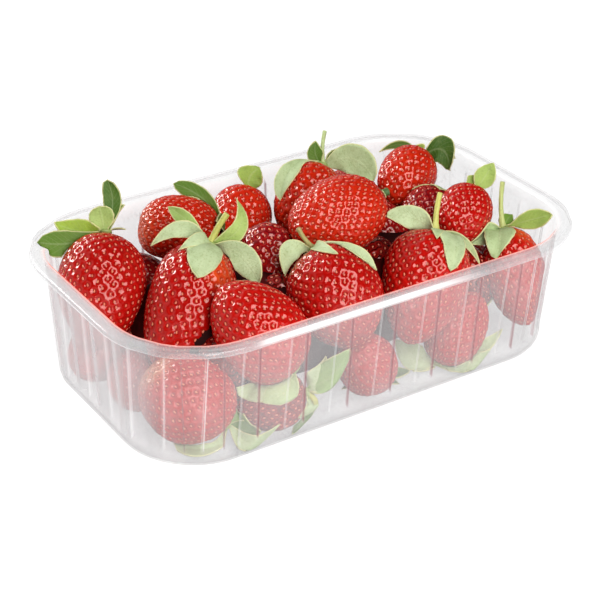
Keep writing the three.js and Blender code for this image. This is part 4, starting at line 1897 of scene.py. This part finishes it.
@dataclass
class Studio:
    """A white floor, soft lights, a world that is brighter on one side, and the camera.

    Places and the floor are in metres, angles in degrees, and the lens and the sensor in millimetres.
    The backdrop is the world's bright side, and its edge is in cosines to the way to it.
    """

    target: Point = (0.0, 0.0, 0.025)
    camera_at: Point = (-0.29270, -0.43528, 0.31818)
    azimuth: float = -33.72
    elevation: float = 29.525
    roll: float = 0.879
    lens: float = 99.709
    sensor: float = 36.0
    floor_size: float = 6.0
    floor_gap: float = 0.0002
    world: float = 0.025
    backdrop: float = 0.5
    backdrop_way: Point = (-0.4, 0.92, 0.0)
    backdrop_edge: Span = (0.2, 0.6)
    clear_layers: int = 16
    lights: tuple[Softbox, ...] = (
        Softbox("key", (-0.03, -0.69, 0.72), 1.0, 0.7, 10.5),
        Softbox("front", (-0.30, -0.92, 0.25), 1.4, 0.5, 6.0),
        Softbox("back", (-0.36, 0.83, 0.43), 1.0, 0.4, 8.0),
    )

    def build(self) -> None:
        """Sets the floor, the lights, the world and the camera."""
        bpy.context.scene.view_settings.view_transform = "Standard"
        bpy.context.scene.cycles.transparent_max_bounces = self.clear_layers
        self.floor()
        self.room()
        for box in self.lights:
            self.light(box)
        self.camera()

    def floor(self) -> None:
        """Lays the floor just under the punnet."""
        add = bpy.ops.mesh.primitive_plane_add
        place = (0.0, 0.0, -self.floor_gap)
        floor = Workpiece.primitive("floor", add, size=self.floor_size, location=place).shape
        floor.data.materials.append(FloorFinish().material())

    def room(self) -> None:
        """Lights the world, which looks white to the camera whatever it throws on the punnet."""
        world = bpy.data.worlds.new("room")
        recipe = Recipe(world)
        where = recipe.node("ShaderNodeTexCoord", out="Generated")
        sockets = {0: where, 1: self.backdrop_way}
        facing = recipe.node("ShaderNodeVectorMath", {"operation": "DOT_PRODUCT"}, sockets, out="Value")
        wall = facing.ramp(*self.backdrop_edge, self.world, self.backdrop)
        strength = wall.math("MAXIMUM", wall, recipe.node("ShaderNodeLightPath", out="Is Camera Ray"))
        light = recipe.node("ShaderNodeBackground", None, {"Color": WHITE, "Strength": strength})
        bpy.context.scene.world = recipe.done(light, "ShaderNodeOutputWorld")

    def light(self, box: Softbox) -> None:
        """Hangs a softbox."""
        way = unit(np.array(box.way))
        data = bpy.data.lights.new(box.name, "AREA")
        data.shape = "SQUARE"
        data.size = box.width
        data.energy = box.watts
        self.place(box.name, data, np.array(self.target) + way * box.distance, way)

    def camera(self) -> None:
        """Sets the camera, turned by its roll."""
        azimuth, elevation = math.radians(self.azimuth), math.radians(self.elevation)
        flat = math.cos(elevation)
        back = np.array([math.sin(azimuth) * flat, -math.cos(azimuth) * flat, math.sin(elevation)])
        data = bpy.data.cameras.new("camera")
        data.sensor_width = self.sensor
        data.lens = self.lens
        camera = self.place("camera", data, np.array(self.camera_at), back)
        camera.matrix_world = camera.matrix_world @ Matrix.Rotation(math.radians(self.roll), 4, "Z")
        bpy.context.scene.camera = camera

    def place(self, name: str, data: bpy.types.ID, at: np.ndarray, back: np.ndarray) -> bpy.types.Object:
        """Puts a lamp or a camera into the scene.

        Args:
            name: Its name.
            data: Its data.
            at: Where it goes.
            back: The way that its back faces.

        Returns:
            The lamp or the camera.
        """
        made = bpy.data.objects.new(name, data)
        bpy.context.scene.collection.objects.link(made)
        right = unit(np.cross(UP, back))
        rows = np.eye(4)
        rows[:3, :3] = np.stack([right, np.cross(back, right), back], axis=1)
        rows[:3, 3] = at
        made.matrix_world = Matrix(rows.tolist())
        return made


def main() -> None:
    """Builds the punnet and its studio."""
    logging.basicConfig(level=logging.INFO, format="%(name)s: %(message)s")
    Studio().build()
    tray = Tray()
    tray.build()
    Heap(tray).build()


if __name__ == "__main__":
    main()
